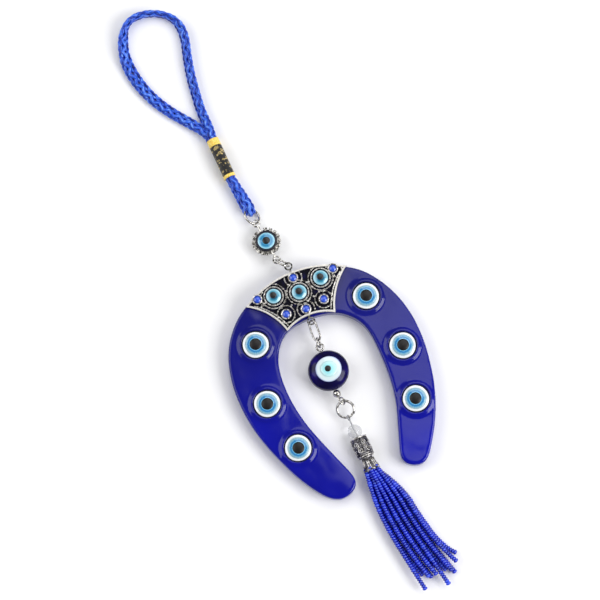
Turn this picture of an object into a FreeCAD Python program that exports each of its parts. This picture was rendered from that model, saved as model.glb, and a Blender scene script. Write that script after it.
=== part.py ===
"""Evil eye ornament: a glass horseshoe with a filigree crown plate, a cord loop above it
and an eye bead and a seed-bead tassel hung inside it.

It lies on its back. +X runs across the legs, +Y from the toes to the cord loop, and +Z out
of the face. The origin is on the back of the glass, under the middle eye of the crown.
"""
import FreeCAD, Part
import math
import os

from FreeCAD import Placement, Rotation, Vector

# Driving dimensions, in millimetres.
WIDTH = 75.0              # across the two legs
HEIGHT = 88.0             # crown to toes
GLASS_THICK = 5.6
GLASS_EDGE = 0.9          # rounded edge of the glass

LEG_EYE = 10.3            # diameter of a leg's eye
LEG_EYE_FIT = 0.15        # gap between an eye and its pocket
LEG_EYE_DEPTH = 1.2
LEG_EYE_STANDS = 0.45     # side of the eye above the glass
LEG_IRIS = 7.6
LEG_PUPIL = 4.8
BOSS = 14.8               # foot of the raised glass round a leg's eye
BOSS_RISE = 0.8
BOSS_SLOPE = 1.5

PLATE_THICK = 1.0
PLATE_RIM = 0.7           # width of the bright edge
PLATE_RIM_RISE = 0.6
ENAMEL_THICK = 0.25
ENAMEL_FIT = 0.04         # gap between enamel and the metal round it
CROWN_EYE = 5.5
CROWN_EYE_BEZEL = 7.7
CROWN_PUPIL = 2.8
STONE = 3.0
STONE_BEZEL = 3.9
BEZEL_RISE = 0.9
GRANULE = 0.8
SCROLL_WIRE = 0.42
ROPE_WIRE = 0.5

EYELET = 3.3              # outside diameter of the cast eyelets
EYELET_WIRE = 0.62
LINK_WIRE = 0.7

CONNECTOR = 12.0          # over the beaded edge
CONNECTOR_BEADS = 16
CONNECTOR_THICK = 1.4
CONNECTOR_EYE = 6.6
CONNECTOR_DISH = 8.1      # dark dish round the eye
CONNECTOR_BEZEL = 0.25    # wall round the eye
CONNECTOR_BACK = 0.3      # plate behind its beads
CONNECTOR_PUPIL = 2.9
CONNECTOR_REACH = 8.5     # centre to each eyelet's hole

CORD = 2.3                # the cord's thickness
CORD_FIT = 0.1
SLEEVE_WALL = 0.25
BROCADE_WALL = 0.3
BAND_WALL = 0.45
BAND_LONG = 3.0
BAND_SHORT = 1.3

CORD_RING_WIRE = 0.8
EYE_BEAD = 15.7
EYE_BEAD_THICK = 9.4
EYE_BEAD_RIM = 3.6        # radius of the bead's round edge
EYE_WHITE = 9.9
EYE_IRIS = 4.7
EYE_PUPIL = 2.4
PIN_WIRE = 0.66
PIN_FIT = 0.08
SPACER = 3.0
SPLIT_RING = 7.4
SPLIT_WIRE = 0.56

THREAD = 0.5
THREAD_LOOP = 1.0         # radius of the thread's turn round the split ring
THREAD_FREE = 2.0         # bare thread between its turn and the clear bead
THREAD_FIT = 0.1
CLEAR_BEAD = 5.4
BARREL = 6.6
BARREL_LIP = 0.9          # rounded end of the barrel
BARREL_LONG = 8.0
BELL_NECK = 4.2
BELL_MOUTH = 6.6
BELL_LONG = 5.5
BELL_WALL = 0.5
PLUG_LONG = 1.6
STRAND = 1.8
LAYER_STEP = 1.95         # between the two layers of strands

# Layer heights that follow from those sizes.
PLATE_TOP = GLASS_THICK + PLATE_THICK
ENAMEL_TOP = PLATE_TOP + ENAMEL_THICK
EYELET_Z = GLASS_THICK + PLATE_THICK / 2
LAYER = 0.12              # an eye's painted layer
UP = Vector(0, 0, 1)

os.makedirs("parts", exist_ok=True)


def spot(x, y, z=0.0):
    """A place on the horseshoe, drawn at 75 x 88 and carried along with its two sizes."""
    return Vector(x * WIDTH / 75.0, y * HEIGHT / 88.0, z)


def save(name, *solids):
    shape = solids[0] if len(solids) == 1 else Part.makeCompound(list(solids))
    shape.exportStep(f"parts/{name}.step")


def post(centre, diameter, low, high):
    return Part.makeCylinder(diameter / 2, high - low, Vector(centre.x, centre.y, low))


def collar(centre, outer, inner, low, high):
    return post(centre, outer, low, high).cut(post(centre, inner, low, high))


def turned(points):
    """A solid of revolution about Z from (radius, height) points."""
    corners = [Vector(r, 0, z) for r, z in points]
    outline = Part.makePolygon(corners + corners[:1])
    return Part.Face(outline).revolve(Vector(), UP, 360)


def domed(diameter, low, edge, top_radius, hollow=0.0):
    """A round slab on Z whose top is part of a ball; hollow lifts its floor the same way."""
    half = diameter / 2
    lean = math.asin(half / top_radius)
    drop = top_radius * (1 - math.cos(lean))
    middle = Vector(top_radius * math.sin(lean / 2), 0,
                    edge + drop - top_radius * (1 - math.cos(lean / 2)))
    side, peak = Vector(half, 0, edge), Vector(0, 0, edge + drop)
    edges = [Part.Arc(side, middle, peak).toShape()]
    if hollow:
        lowered = Vector(0, 0, -hollow)
        edges.append(Part.LineSegment(peak, peak + lowered).toShape())
        edges.append(Part.Arc(peak + lowered, middle + lowered, side + lowered).toShape())
        edges.append(Part.LineSegment(side + lowered, side).toShape())
    else:
        foot, centre = Vector(half, 0, low), Vector(0, 0, low)
        edges.append(Part.LineSegment(peak, centre).toShape())
        edges.append(Part.LineSegment(centre, foot).toShape())
        edges.append(Part.LineSegment(foot, side).toShape())
    return Part.Face(Part.Wire(edges)).revolve(Vector(), UP, 360)


def moved(shape, place):
    copy = shape.copy()
    copy.Placement = place.multiply(copy.Placement)
    return copy


def at(centre, z=0.0):
    return Placement(Vector(centre.x, centre.y, z), Rotation())


def facing(start, end):
    """The placement that stands Z on the line from start to end."""
    return Placement(start, Rotation(UP, end - start))


def tilt_axes(start, end, roll):
    """Axes of a flat ring between two points, rolled from upright about its own length."""
    along = (end - start).normalize()
    across = UP.cross(along).normalize()
    rise = along.cross(across)
    lean = math.radians(roll)
    wide = rise * math.cos(lean) + across * math.sin(lean)
    return along, wide, along.cross(wide)


def rod(start, end, diameter):
    return Part.makeCylinder(diameter / 2, (end - start).Length, start, end - start)


def link(start, end, wire, roll, width=None):
    """A wire ring whose centre line meets both points: round, or oval with a given width."""
    along, wide, normal = tilt_axes(start, end, roll)
    centre = (start + end) * 0.5
    length = (end - start).Length
    if width is None:
        return Part.makeTorus(length / 2, wire / 2, centre, normal)
    half, bend = width / 2, length / 2 - width / 2
    corners = []
    for sign in (1, -1):
        corners.append(centre + along * (sign * bend) + wide * (sign * half))
        corners.append(centre + along * (sign * length / 2))
        corners.append(centre + along * (sign * bend) - wide * (sign * half))
    first, second = corners[:3], corners[3:]
    path = Part.Wire([Part.Arc(*first).toShape(),
                      Part.LineSegment(first[2], second[0]).toShape(),
                      Part.Arc(*second).toShape(),
                      Part.LineSegment(second[2], first[0]).toShape()])
    section = Part.Wire(Part.makeCircle(wire / 2, first[0], along))
    return path.makePipeShell([section], True, True)


def route_wire(points):
    """Straight runs joined by tangent arcs, each as large as its two runs allow."""
    edges, radii, last = [], [], points[0]
    for before, corner, after in zip(points, points[1:], points[2:]):
        back, ahead = before - corner, after - corner
        reach = 0.45 * min(back.Length, ahead.Length)
        turn = math.pi - back.getAngle(ahead)
        radius = reach / math.tan(turn / 2)
        back.normalize()
        ahead.normalize()
        bisector = (back + ahead).normalize()
        centre = corner + bisector * math.hypot(radius, reach)
        enter, leave = corner + back * reach, corner + ahead * reach
        edges.append(Part.LineSegment(last, enter).toShape())
        edges.append(Part.Arc(enter, centre - bisector * radius, leave).toShape())
        radii.append(radius)
        last = leave
    edges.append(Part.LineSegment(last, points[-1]).toShape())
    return Part.Wire(edges), radii


def route_tube(points, diameter):
    """A round tube along a route, made one run or arc at a time and joined."""
    path, radii = route_wire(points)
    first = path.OrderedEdges[0]
    section = Part.Wire(Part.makeCircle(diameter / 2, points[0], first.tangentAt(first.FirstParameter)))
    tube = path.makePipeShell([section], True, True)
    return tube, path.Length, radii


# The glass horseshoe and its six eyes.
GLASS_OUTLINE = [
    (0, 8.7), (13.3, 6.2), (25, 0), (32.5, -10), (37.0, -24), (36.9, -40), (31.8, -60), (24.6, -73),
    (18.5, -78.2), (12.6, -75), (13.1, -69), (18.9, -50), (19.9, -30), (18.0, -20), (10, -12.3),
    (0, -10.6), (-10, -12.3), (-16.6, -20), (-18.6, -30), (-15.7, -50), (-8.6, -69), (-7.6, -76),
    (-14.0, -79.3), (-22.6, -73), (-29.7, -60), (-35.6, -43), (-37.1, -27), (-33.2, -10),
    (-25, 0), (-13.3, 6.2),
]
LEG_EYES = {
    "left_upper": spot(-23.0, -12.5), "left_middle": spot(-27.4, -35.3), "left_lower": spot(-22.8, -55.3),
    "right_upper": spot(23.3, -10.7), "right_middle": spot(29.0, -33.7), "right_lower": spot(25.8, -54.5),
}
LEG_EYE_TOP = 16.0        # radius of the eye's domed face


def make_glass():
    curve = Part.BSplineCurve()
    curve.interpolate(Points=[spot(x, y) for x, y in GLASS_OUTLINE], PeriodicFlag=True)
    face = Part.Face(Part.Wire(curve.toShape()))
    glass = face.extrude(UP * GLASS_THICK)
    rims = [edge for edge in glass.Edges if edge.BoundBox.ZLength < GLASS_EDGE / 2]
    glass = glass.makeFillet(GLASS_EDGE, rims)
    half = BOSS / 2
    pocket = LEG_EYE / 2 + LEG_EYE_FIT
    boss = turned([(0, -BOSS_RISE), (half, -BOSS_RISE), (half, 0), (half - BOSS_SLOPE, BOSS_RISE),
                   (pocket + BOSS_RISE / 2, BOSS_RISE), (pocket, BOSS_RISE / 2), (0, BOSS_RISE / 2)])
    for centre in LEG_EYES.values():
        hole = post(centre, 2 * pocket, GLASS_THICK - LEG_EYE_DEPTH, GLASS_THICK + 2 * BOSS_RISE)
        glass = glass.fuse(moved(boss, at(centre, GLASS_THICK))).cut(hole)
    save("glass_horseshoe", glass.removeSplitter())


def make_leg_eyes():
    white = domed(LEG_EYE, 0, LEG_EYE_DEPTH + LEG_EYE_STANDS, LEG_EYE_TOP)
    peak = white.BoundBox.ZMax
    irises, pupils = [], []
    for name, centre in LEG_EYES.items():
        seat = at(centre, GLASS_THICK - LEG_EYE_DEPTH)
        save(f"horseshoe_eye_{name}", moved(white, seat))
        for diameter, lift, group in ((LEG_IRIS, 1, irises), (LEG_PUPIL, 2, pupils)):
            group.append(moved(layer(diameter, peak + lift * LAYER, LEG_EYE_TOP + lift * LAYER), seat))
    save("horseshoe_irises", *irises)
    save("horseshoe_pupils", *pupils)


def layer(diameter, peak, top_radius):
    """A painted layer on a domed face, as deep as LAYER, with its highest point at peak."""
    drop = top_radius * (1 - math.cos(math.asin(diameter / 2 / top_radius)))
    return domed(diameter, 0, peak - drop, top_radius, hollow=LAYER)


# The crown plate.
CORNERS = [spot(-21.2, 2.3), spot(20.7, 2.9), spot(10.0, -12.3), spot(-9.8, -12.3)]
SIDES = [spot(0, 8.6), spot(13.6, -4.4), spot(0, -9.6), spot(-13.4, -4.6)]
CROWN_EYES = {"left": spot(-9.7, 2.2), "centre": spot(0, 0), "right": spot(9.7, 2.2)}
STONES = [
    spot(-0.1, 6.1), spot(-16.0, 3.3), spot(15.4, 3.8), spot(-7.8, -6.1), spot(0, -7.0), spot(7.7, -6.0),
]
GRANULES = [
    spot(-4.5, 2.4), spot(4.4, 2.4), spot(-8.5, -3.2), spot(8.6, -3.1), spot(-1.7, -4.5), spot(1.8, -4.5),
    spot(-15.1, 0.6), spot(14.9, 1.1), spot(-8.0, -9.3), spot(8.1, -9.2), spot(-4.6, -3.6), spot(4.5, -3.5),
    spot(-13.2, 5.1), spot(13.2, 5.2),
]
SCROLLS = [
    (spot(-3.7, 5.2), 1.45), (spot(3.65, 5.2), 1.45), (spot(-5.3, -1.6), 1.1), (spot(5.3, -1.6), 1.1),
    (spot(-3.5, -6.3), 1.3), (spot(3.5, -6.3), 1.3), (spot(-10.8, -3.5), 1.0), (spot(10.8, -3.5), 1.0),
    (spot(-6.4, 6.1), 0.8), (spot(6.4, 6.1), 0.8),
]
TOP_EYELET = spot(0, 11.2, EYELET_Z)
LOW_EYELET = spot(0.1, -11.9, EYELET_Z)
EYELET_RING = (EYELET - EYELET_WIRE) / 2


def plate_face(inset):
    """The plate's outline, drawn in by an inset: four arcs through its corners and sides."""
    edges = []
    for start, middle, end in zip(CORNERS, SIDES, CORNERS[1:] + CORNERS[:1]):
        edges.append(Part.Arc(start, middle, end).toShape())
    face = Part.Face(Part.Wire(edges))
    if not inset:
        return face
    inner = face.makeOffset2D(-inset)
    return inner if inner.Faces else Part.Face(inner)


def raised(face, low, high):
    solid = face.extrude(UP * (high - low))
    solid.translate(UP * low)
    return solid


def eyelet(centre, toward, reach):
    """A cast ring with the short neck that joins it to a plate's edge."""
    ring = Part.makeTorus(EYELET_RING, EYELET_WIRE / 2, centre, UP)
    start = centre + toward * (EYELET_RING - EYELET_WIRE / 4)
    neck = rod(start, centre + toward * reach, EYELET_WIRE * 1.4)
    return ring.fuse(neck)


def make_crown():
    base = raised(plate_face(0), GLASS_THICK, PLATE_TOP)
    rim = raised(plate_face(0), PLATE_TOP, PLATE_TOP + PLATE_RIM_RISE)
    field = plate_face(PLATE_RIM)
    rim = rim.cut(raised(field, PLATE_TOP, PLATE_TOP + PLATE_RIM_RISE))
    holders = [(centre, CROWN_EYE_BEZEL, CROWN_EYE) for centre in CROWN_EYES.values()]
    holders += [(centre, STONE_BEZEL, STONE) for centre in STONES]
    for centre, outer, _ in holders:
        rim = rim.cut(post(centre, outer, PLATE_TOP, PLATE_TOP + PLATE_RIM_RISE))
    plate = base.fuse(rim)
    enamel = raised(plate_face(PLATE_RIM + ENAMEL_FIT), PLATE_TOP, ENAMEL_TOP)
    for centre, outer, inner in holders:
        plate = plate.fuse(collar(centre, outer, inner, PLATE_TOP, PLATE_TOP + BEZEL_RISE))
        enamel = enamel.cut(post(centre, outer + 2 * ENAMEL_FIT, PLATE_TOP, ENAMEL_TOP))
    for centre, side in ((TOP_EYELET, -1), (LOW_EYELET, 1)):
        plate = plate.fuse(eyelet(centre, Vector(0, side, 0), EYELET))
    save("crown_plate", plate)
    save("crown_enamel", *enamel.Solids)


def make_crown_trim():
    wire = SCROLL_WIRE / 2
    save("crown_scrolls", *[Part.makeTorus(turn, wire, at_height(centre, ENAMEL_TOP + wire), UP)
                            for centre, turn in SCROLLS])
    ball = GRANULE / 2
    save("crown_granules", *[Part.makeSphere(ball, at_height(centre, ENAMEL_TOP + ball))
                             for centre in GRANULES])
    strands = []
    for index in (1, 3):
        start, middle, end = CORNERS[index], SIDES[index], CORNERS[(index + 1) % 4]
        inward = Vector(-1 if index == 1 else 1, 0, 0) * (PLATE_RIM + 1.8 * ROPE_WIRE)
        lift = UP * (ENAMEL_TOP + ROPE_WIRE / 2)
        arc = Part.Arc(*[point + inward + lift for point in (start, middle, end)])
        span = arc.LastParameter - arc.FirstParameter
        arc = arc.toShape(arc.FirstParameter + 0.1 * span, arc.LastParameter - 0.1 * span)
        section = Part.Wire(Part.makeCircle(ROPE_WIRE / 2, arc.Vertexes[0].Point,
                                            arc.tangentAt(arc.FirstParameter)))
        strands.append(Part.Wire(arc).makePipeShell([section], True, True))
    save("crown_rope_borders", *strands)


def at_height(centre, z):
    return Vector(centre.x, centre.y, z)


def small_eye(diameter, pupil, edge):
    """A little eye cabochon and the pupil on it, standing on Z."""
    top_radius = diameter * 0.9
    body = domed(diameter, 0, edge, top_radius)
    return body, layer(pupil, body.BoundBox.ZMax + LAYER, top_radius + LAYER)


def make_crown_eyes():
    body, pupil = small_eye(CROWN_EYE - 2 * LEG_EYE_FIT, CROWN_PUPIL, BEZEL_RISE)
    for name, centre in CROWN_EYES.items():
        save(f"crown_eye_{name}", moved(body, at(centre, PLATE_TOP)))
    save("crown_pupils", *[moved(pupil, at(centre, PLATE_TOP)) for centre in CROWN_EYES.values()])
    stone, _ = small_eye(STONE - 2 * LEG_EYE_FIT, STONE / 2, BEZEL_RISE)
    save("crown_stones", *[moved(stone, at(centre, PLATE_TOP)) for centre in STONES])


# The chain above the crown: a link ring, the round connector and the ring of the cord.
CONNECTOR_LOW = TOP_EYELET + Vector(-3.1, 4.3, -1.5)
CONNECTOR_AXIS = Vector(-0.11, 1.0, -0.12).normalize()
CONNECTOR_MID = CONNECTOR_LOW + CONNECTOR_AXIS * CONNECTOR_REACH
CONNECTOR_HIGH = CONNECTOR_MID + CONNECTOR_AXIS * CONNECTOR_REACH
LINK_ROLL = 25.0
CORD_RING_ROLL = 52.0
CORD_RING_END = CONNECTOR_HIGH + Vector(-0.9, 6.4, 0.0)


def connector_place():
    """X across, Y along the connector and Z out of its face."""
    across = CONNECTOR_AXIS.cross(UP).normalize()
    return Placement(CONNECTOR_MID, Rotation(across, CONNECTOR_AXIS, across.cross(CONNECTOR_AXIS), "XYZ"))


def make_connector():
    place = connector_place()
    half = CONNECTOR_THICK / 2
    ball = math.pi * CONNECTOR / CONNECTOR_BEADS * 0.36
    ring = CONNECTOR / 2 - ball
    seat = 2 * (ring - ball)
    centre = Vector()
    frame = post(centre, seat, -ball, half).fuse(post(centre, 2 * ring, -ball - CONNECTOR_BACK, -ball))
    for side in (-1, 1):
        end = Vector(0, side * CONNECTOR_REACH, 0)
        frame = frame.fuse(eyelet(end, Vector(0, -side, 0), CONNECTOR_REACH - seat / 2 + ball / 2))
    frame = frame.cut(post(centre, CONNECTOR_DISH, half - ENAMEL_THICK * 2, half + CONNECTOR_THICK))
    frame = frame.fuse(collar(centre, CONNECTOR_EYE + 2 * CONNECTOR_BEZEL, CONNECTOR_EYE,
                              half - ENAMEL_THICK * 2, half + LAYER))
    beads = []
    for index in range(CONNECTOR_BEADS):
        turn = 2 * math.pi * index / CONNECTOR_BEADS
        if index % (CONNECTOR_BEADS // 2) == 0:
            continue                              # an eyelet's neck is in this place
        beads.append(Part.makeSphere(ball, Vector(ring * math.sin(turn), ring * math.cos(turn), 0)))
    wall = 2 * (CONNECTOR_BEZEL + ENAMEL_FIT)
    dish = collar(centre, CONNECTOR_DISH - 2 * ENAMEL_FIT, CONNECTOR_EYE + wall,
                  half - ENAMEL_THICK * 2, half - ENAMEL_THICK)
    body, pupil = small_eye(CONNECTOR_EYE - 2 * LEG_EYE_FIT, CONNECTOR_PUPIL, LAYER * 5)
    lift = at(centre, half - ENAMEL_THICK * 2)
    save("connector_frame", moved(frame, place))
    save("connector_beads", *[moved(bead, place) for bead in beads])
    save("connector_enamel", moved(dish, place))
    save("connector_eye", moved(moved(body, lift), place))
    save("connector_pupil", moved(moved(pupil, lift), place))


def make_upper_links():
    save("link_ring", link(TOP_EYELET, CONNECTOR_LOW, LINK_WIRE, LINK_ROLL))
    save("cord_ring", link(CONNECTOR_HIGH, CORD_RING_END, CORD_RING_WIRE, CORD_RING_ROLL))


# The doubled cord: its two tails turn round the cord ring, and both pass through the sleeve.
SLEEVE_BORE = 2 * CORD + 3 * CORD_FIT
BROCADE = SLEEVE_BORE + 2 * SLEEVE_WALL + 2 * BROCADE_WALL
SLEEVE_Z = BROCADE / 2 + BAND_WALL - BROCADE_WALL
SLEEVE_LOW = at_height(CORD_RING_END + Vector(-1.8, 14.1, 0), SLEEVE_Z)
SLEEVE_HIGH = SLEEVE_LOW + Vector(-0.75, 16.8, 0)
SLEEVE_MID = (SLEEVE_LOW + SLEEVE_HIGH) * 0.5
FOLD = (CORD_RING_WIRE + CORD) / 2 + CORD_FIT
CORD_Z = CORD / 2 + CORD_FIT
CORD_EDGE_Z = 2.1         # the braid stands on its edge over the top of the loop
ENDS_GAP = 0.4            # between the cord's two ends inside the sleeve

# The loop above the sleeve, as offsets from its upper end.
LOOP = [
    (-1.6, 4.4, 2.2), (-5.6, 10.0, 1.6), (-10.7, 16.4, CORD_Z), (-15.6, 24.3, CORD_Z),
    (-18.8, 33.3, CORD_Z), (-20.0, 42.5, 1.4), (-18.2, 50.8, 1.8), (-14.0, 57.4, CORD_EDGE_Z),
    (-7.6, 58.6, CORD_EDGE_Z), (0.1, 56.0, CORD_EDGE_Z), (4.8, 51.0, CORD_EDGE_Z), (5.6, 44.0, 1.9),
    (3.3, 35.8, 1.5), (1.5, 26.8, CORD_Z), (0.7, 18.8, CORD_Z), (0.2, 13.4, CORD_Z), (0.3, 8.6, 1.9),
    (0.7, 4.2, 2.9),
]


def cord_route():
    along, wide, stack = tilt_axes(CONNECTOR_HIGH, CORD_RING_END, CORD_RING_ROLL)
    if stack.x < 0:
        stack = stack * -1
    apart = stack * ((CORD + CORD_FIT) / 2)
    tip = CORD_RING_END - along * FOLD
    turn = stack * FOLD
    upper = [SLEEVE_HIGH + Vector(*place) - at_height(Vector(), SLEEVE_HIGH.z) for place in LOOP]
    ends = Vector(0, ENDS_GAP / 2, 0)
    route = [SLEEVE_MID - apart + ends, SLEEVE_HIGH - apart] + upper
    route += [SLEEVE_HIGH + apart, SLEEVE_LOW + apart]
    route += [CORD_RING_END + along * (2.5 * FOLD) + turn, tip + turn]
    route += [tip - turn, CORD_RING_END + along * (2.5 * FOLD) - turn]
    route += [SLEEVE_LOW - apart, SLEEVE_MID - apart - ends]
    return route


def make_cord():
    route = cord_route()
    cord, length, radii = route_tube(route, CORD)
    section = math.pi * CORD ** 2 / 4
    print("cord length", round(length, 1), "radii", [round(radius, 1) for radius in radii],
          "volume over section x length", round(cord.Volume / (section * length), 3))
    save("hanging_cord", cord)


def sleeve_collar(start, end, outer, inner):
    return rod(start, end, outer).cut(rod(start, end, inner))


def make_sleeve():
    along = (SLEEVE_HIGH - SLEEVE_LOW).normalize()
    inner = SLEEVE_BORE + 2 * SLEEVE_WALL
    save("sleeve_tube", sleeve_collar(SLEEVE_LOW, SLEEVE_HIGH, inner, SLEEVE_BORE))
    low, high = SLEEVE_LOW + along * BAND_SHORT, SLEEVE_HIGH - along * BAND_LONG
    save("sleeve_brocade", sleeve_collar(low, high, BROCADE, inner))
    band = inner + 2 * BAND_WALL
    save("sleeve_band_lower", sleeve_collar(SLEEVE_LOW, low, band, inner))
    save("sleeve_band_upper", sleeve_collar(high, SLEEVE_HIGH, band, inner))


# The chain inside the horseshoe: two links, the pin with its eye bead, and the split ring.
CROSSING = LINK_WIRE / 2 + 0.15    # half the overlap of two links that hang in each other
OVAL_WIDTH = 3.6
OVAL_ROLL = 45.0
SMALL_ROLL = -20.0
LINKS_MEET = LOW_EYELET + Vector(-0.3, -7.4, -0.6)
PIN_RING = EYELET_RING
PIN_TOP = LOW_EYELET + Vector(-0.6, -10.5, -1.0)
BEAD_DROP = EYE_BEAD / 2 + EYELET / 2 + 2 * PIN_FIT
BEAD_MID = Vector(PIN_TOP.x - 0.4, PIN_TOP.y - BEAD_DROP, EYE_BEAD_THICK / 2 + 0.15)
PIN_AXIS = at_height(BEAD_MID - PIN_TOP, 0).normalize()
PIN_START = at_height(PIN_TOP, BEAD_MID.z)
SPACER_MID = BEAD_MID + PIN_AXIS * (EYE_BEAD / 2 + SPACER / 2 + PIN_FIT)
PIN_END = SPACER_MID + PIN_AXIS * (SPACER / 2 + PIN_RING + PIN_WIRE / 2)
LOW_LOOP_LEAN = math.radians(45.0)
LOW_LOOP = PIN_END + Vector(math.cos(LOW_LOOP_LEAN), 0, -math.sin(LOW_LOOP_LEAN)) * PIN_RING
SPLIT_ROLL = 68.0
SPLIT_END = LOW_LOOP + Vector(0.0, SPLIT_WIRE - SPLIT_RING, -1.1)


def make_drop_links():
    step = (LINKS_MEET - LOW_EYELET).normalize() * CROSSING
    save("drop_link_upper", link(LOW_EYELET, LINKS_MEET + step, LINK_WIRE, OVAL_ROLL, OVAL_WIDTH))
    save("drop_link_lower", link(LINKS_MEET - step, PIN_START, LINK_WIRE, SMALL_ROLL))


def make_pin():
    pin = rod(PIN_START + PIN_AXIS * PIN_RING, PIN_END, PIN_WIRE)
    pin = pin.fuse(Part.makeTorus(PIN_RING, PIN_WIRE / 2, PIN_START, UP))
    pin = pin.fuse(Part.makeSphere(PIN_WIRE / 2, PIN_END))
    axis = Vector(math.sin(LOW_LOOP_LEAN), 0, math.cos(LOW_LOOP_LEAN))
    save("eye_pin", pin.fuse(Part.makeTorus(PIN_RING, PIN_WIRE / 2, LOW_LOOP, axis)))


def bead_face_radius():
    """The ball whose top meets the bead's round edge smoothly."""
    reach, half = EYE_BEAD / 2 - EYE_BEAD_RIM, EYE_BEAD_THICK / 2
    return (reach ** 2 + half ** 2 - EYE_BEAD_RIM ** 2) / (2 * (half - EYE_BEAD_RIM))


def make_eye_bead():
    ball, half = bead_face_radius(), EYE_BEAD_THICK / 2
    rim = Vector(EYE_BEAD / 2 - EYE_BEAD_RIM, 0, 0)
    toward = (rim - Vector(0, 0, half - ball)).normalize()
    join = rim + toward * EYE_BEAD_RIM
    slope = math.atan2(toward.x, toward.z) / 2
    middle = Vector(ball * math.sin(slope), 0, half - ball + ball * math.cos(slope))
    flip = lambda point: Vector(point.x, 0, -point.z)
    top, side = Vector(0, 0, half), rim + Vector(EYE_BEAD_RIM, 0, 0)
    outline = [Part.Arc(top, middle, join).toShape(), Part.Arc(join, side, flip(join)).toShape(),
               Part.Arc(flip(join), flip(middle), flip(top)).toShape(),
               Part.LineSegment(flip(top), top).toShape()]
    bead = Part.Face(Part.Wire(outline)).revolve(Vector(), UP, 360)
    place = at(BEAD_MID, BEAD_MID.z)
    hole = rod(BEAD_MID - PIN_AXIS * EYE_BEAD, BEAD_MID + PIN_AXIS * EYE_BEAD, PIN_WIRE + 2 * PIN_FIT)
    save("eye_bead_glass", moved(bead, place).cut(hole))
    layers = [("white", EYE_WHITE), ("iris", EYE_IRIS), ("pupil", EYE_PUPIL)]
    for index, (name, diameter) in enumerate(layers):
        lift = (index + 1) * LAYER
        save(f"eye_bead_{name}", moved(layer(diameter, half + lift, ball + lift), place))
    spacer = Part.makeSphere(SPACER / 2, SPACER_MID)
    save("spacer_ball", spacer.cut(rod(SPACER_MID - PIN_AXIS * SPACER, SPACER_MID + PIN_AXIS * SPACER,
                                       PIN_WIRE + 2 * PIN_FIT)))


def make_split_ring():
    along, wide, normal = tilt_axes(LOW_LOOP, SPLIT_END, SPLIT_ROLL)
    centre = (LOW_LOOP + SPLIT_END) * 0.5
    radius = (SPLIT_END - LOW_LOOP).Length / 2
    turns = [Part.makeTorus(radius, SPLIT_WIRE / 2, centre + normal * (side * SPLIT_WIRE * 0.48), normal)
             for side in (-1, 1)]
    save("split_ring", turns[0].fuse(turns[1]))


# The tassel. Its head is turned about one line, from the split ring to the bell's mouth.
BELL_END = SPLIT_END + Vector(0.75, -THREAD_LOOP - THREAD_FREE - CLEAR_BEAD - BARREL_LONG - BELL_LONG, 0.4)
HEAD_AXIS = (BELL_END - SPLIT_END).normalize()
CLEAR_START = THREAD_LOOP + THREAD_FREE
BARREL_START = CLEAR_START + CLEAR_BEAD
BELL_START = BARREL_START + BARREL_LONG
BELL_STOP = BELL_START + BELL_LONG
THREAD_HOLE = THREAD / 2 + THREAD_FIT

# Where the fan of strands is along the way down: drop below the mouth, middle, half width.
FAN = [(0.8, 0.65, 4.95), (9.8, 1.85, 5.6), (22.8, 3.05, 6.2), (36.8, 6.0, 6.8)]
FAN_END = (8.75, 7.4)
CROWDED = 0.7             # strands further out than this start lower, where there is room
CROWDED_DROP = 0.2        # share of the first run that they leave out
STRANDS = {
    "upper": [(-1.0, 48.6), (-0.6, 44.7), (-0.2, 45.0), (0.2, 50.1), (0.6, 45.8), (1.0, 43.3)],
    "lower": [(-0.85, 43.3), (-0.45, 45.3), (-0.05, 42.3), (0.35, 44.8), (0.75, 46.8), (1.15, 40.2)],
}


def on_head(reach):
    return SPLIT_END + HEAD_AXIS * reach


def make_head():
    _, wide, _ = tilt_axes(LOW_LOOP, SPLIT_END, SPLIT_ROLL)
    thread = Part.makeTorus(THREAD_LOOP, THREAD / 2, SPLIT_END, wide)
    thread = thread.fuse(rod(on_head(THREAD_LOOP), on_head(BELL_STOP - PLUG_LONG), THREAD))
    save("tassel_thread", thread)
    middle = on_head(CLEAR_START + CLEAR_BEAD / 2)
    bore = rod(on_head(0), on_head(BELL_STOP), 2 * THREAD_HOLE)
    save("clear_bead", Part.makeSphere(CLEAR_BEAD / 2, middle).cut(bore))
    place = facing(SPLIT_END, BELL_END)
    side, low, high = BARREL / 2, BARREL_START, BELL_START
    barrel = turned([(0, low), (side - BARREL_LIP, low), (side, low + BARREL_LIP),
                     (side, high - BARREL_LIP), (side - BARREL_LIP, high), (0, high)])
    save("tassel_barrel", moved(barrel, place).cut(bore))
    neck, mouth = BELL_NECK / 2, BELL_MOUTH / 2
    bell = turned([(0, high), (neck, high), (neck, high + 1.0), (mouth, BELL_STOP),
                   (mouth - BELL_WALL, BELL_STOP), (neck - BELL_WALL, high + 1.0 + BELL_WALL),
                   (0, high + 1.0 + BELL_WALL)])
    save("tassel_bell", moved(bell, place).cut(bore))
    inside = mouth - BELL_WALL - THREAD_FIT
    slope = (mouth - neck) / (BELL_LONG - 1.0)
    plug = turned([(0, BELL_STOP - PLUG_LONG), (inside - slope * PLUG_LONG, BELL_STOP - PLUG_LONG),
                   (inside, BELL_STOP), (0, BELL_STOP)])
    save("tassel_plug", moved(plug, place))


def strand_route(level, across, drop):
    """One strand, from its root under the bell to its last bead."""
    step = LAYER_STEP if level == "upper" else 0.0
    rest = STRAND / 2 + THREAD_FIT + step
    root = BELL_END.z - LAYER_STEP / 2 + step
    places = [Vector(middle + across * half, -down, rest) for down, middle, half in FAN]
    places[0].z = root
    if abs(across) > CROWDED:
        places[0] = places[0] + (places[1] - places[0]) * CROWDED_DROP
    places.append(Vector(FAN_END[0] + across * FAN_END[1], -drop, rest))
    return [at_height(BELL_END, 0) + place for place in places]


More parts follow.
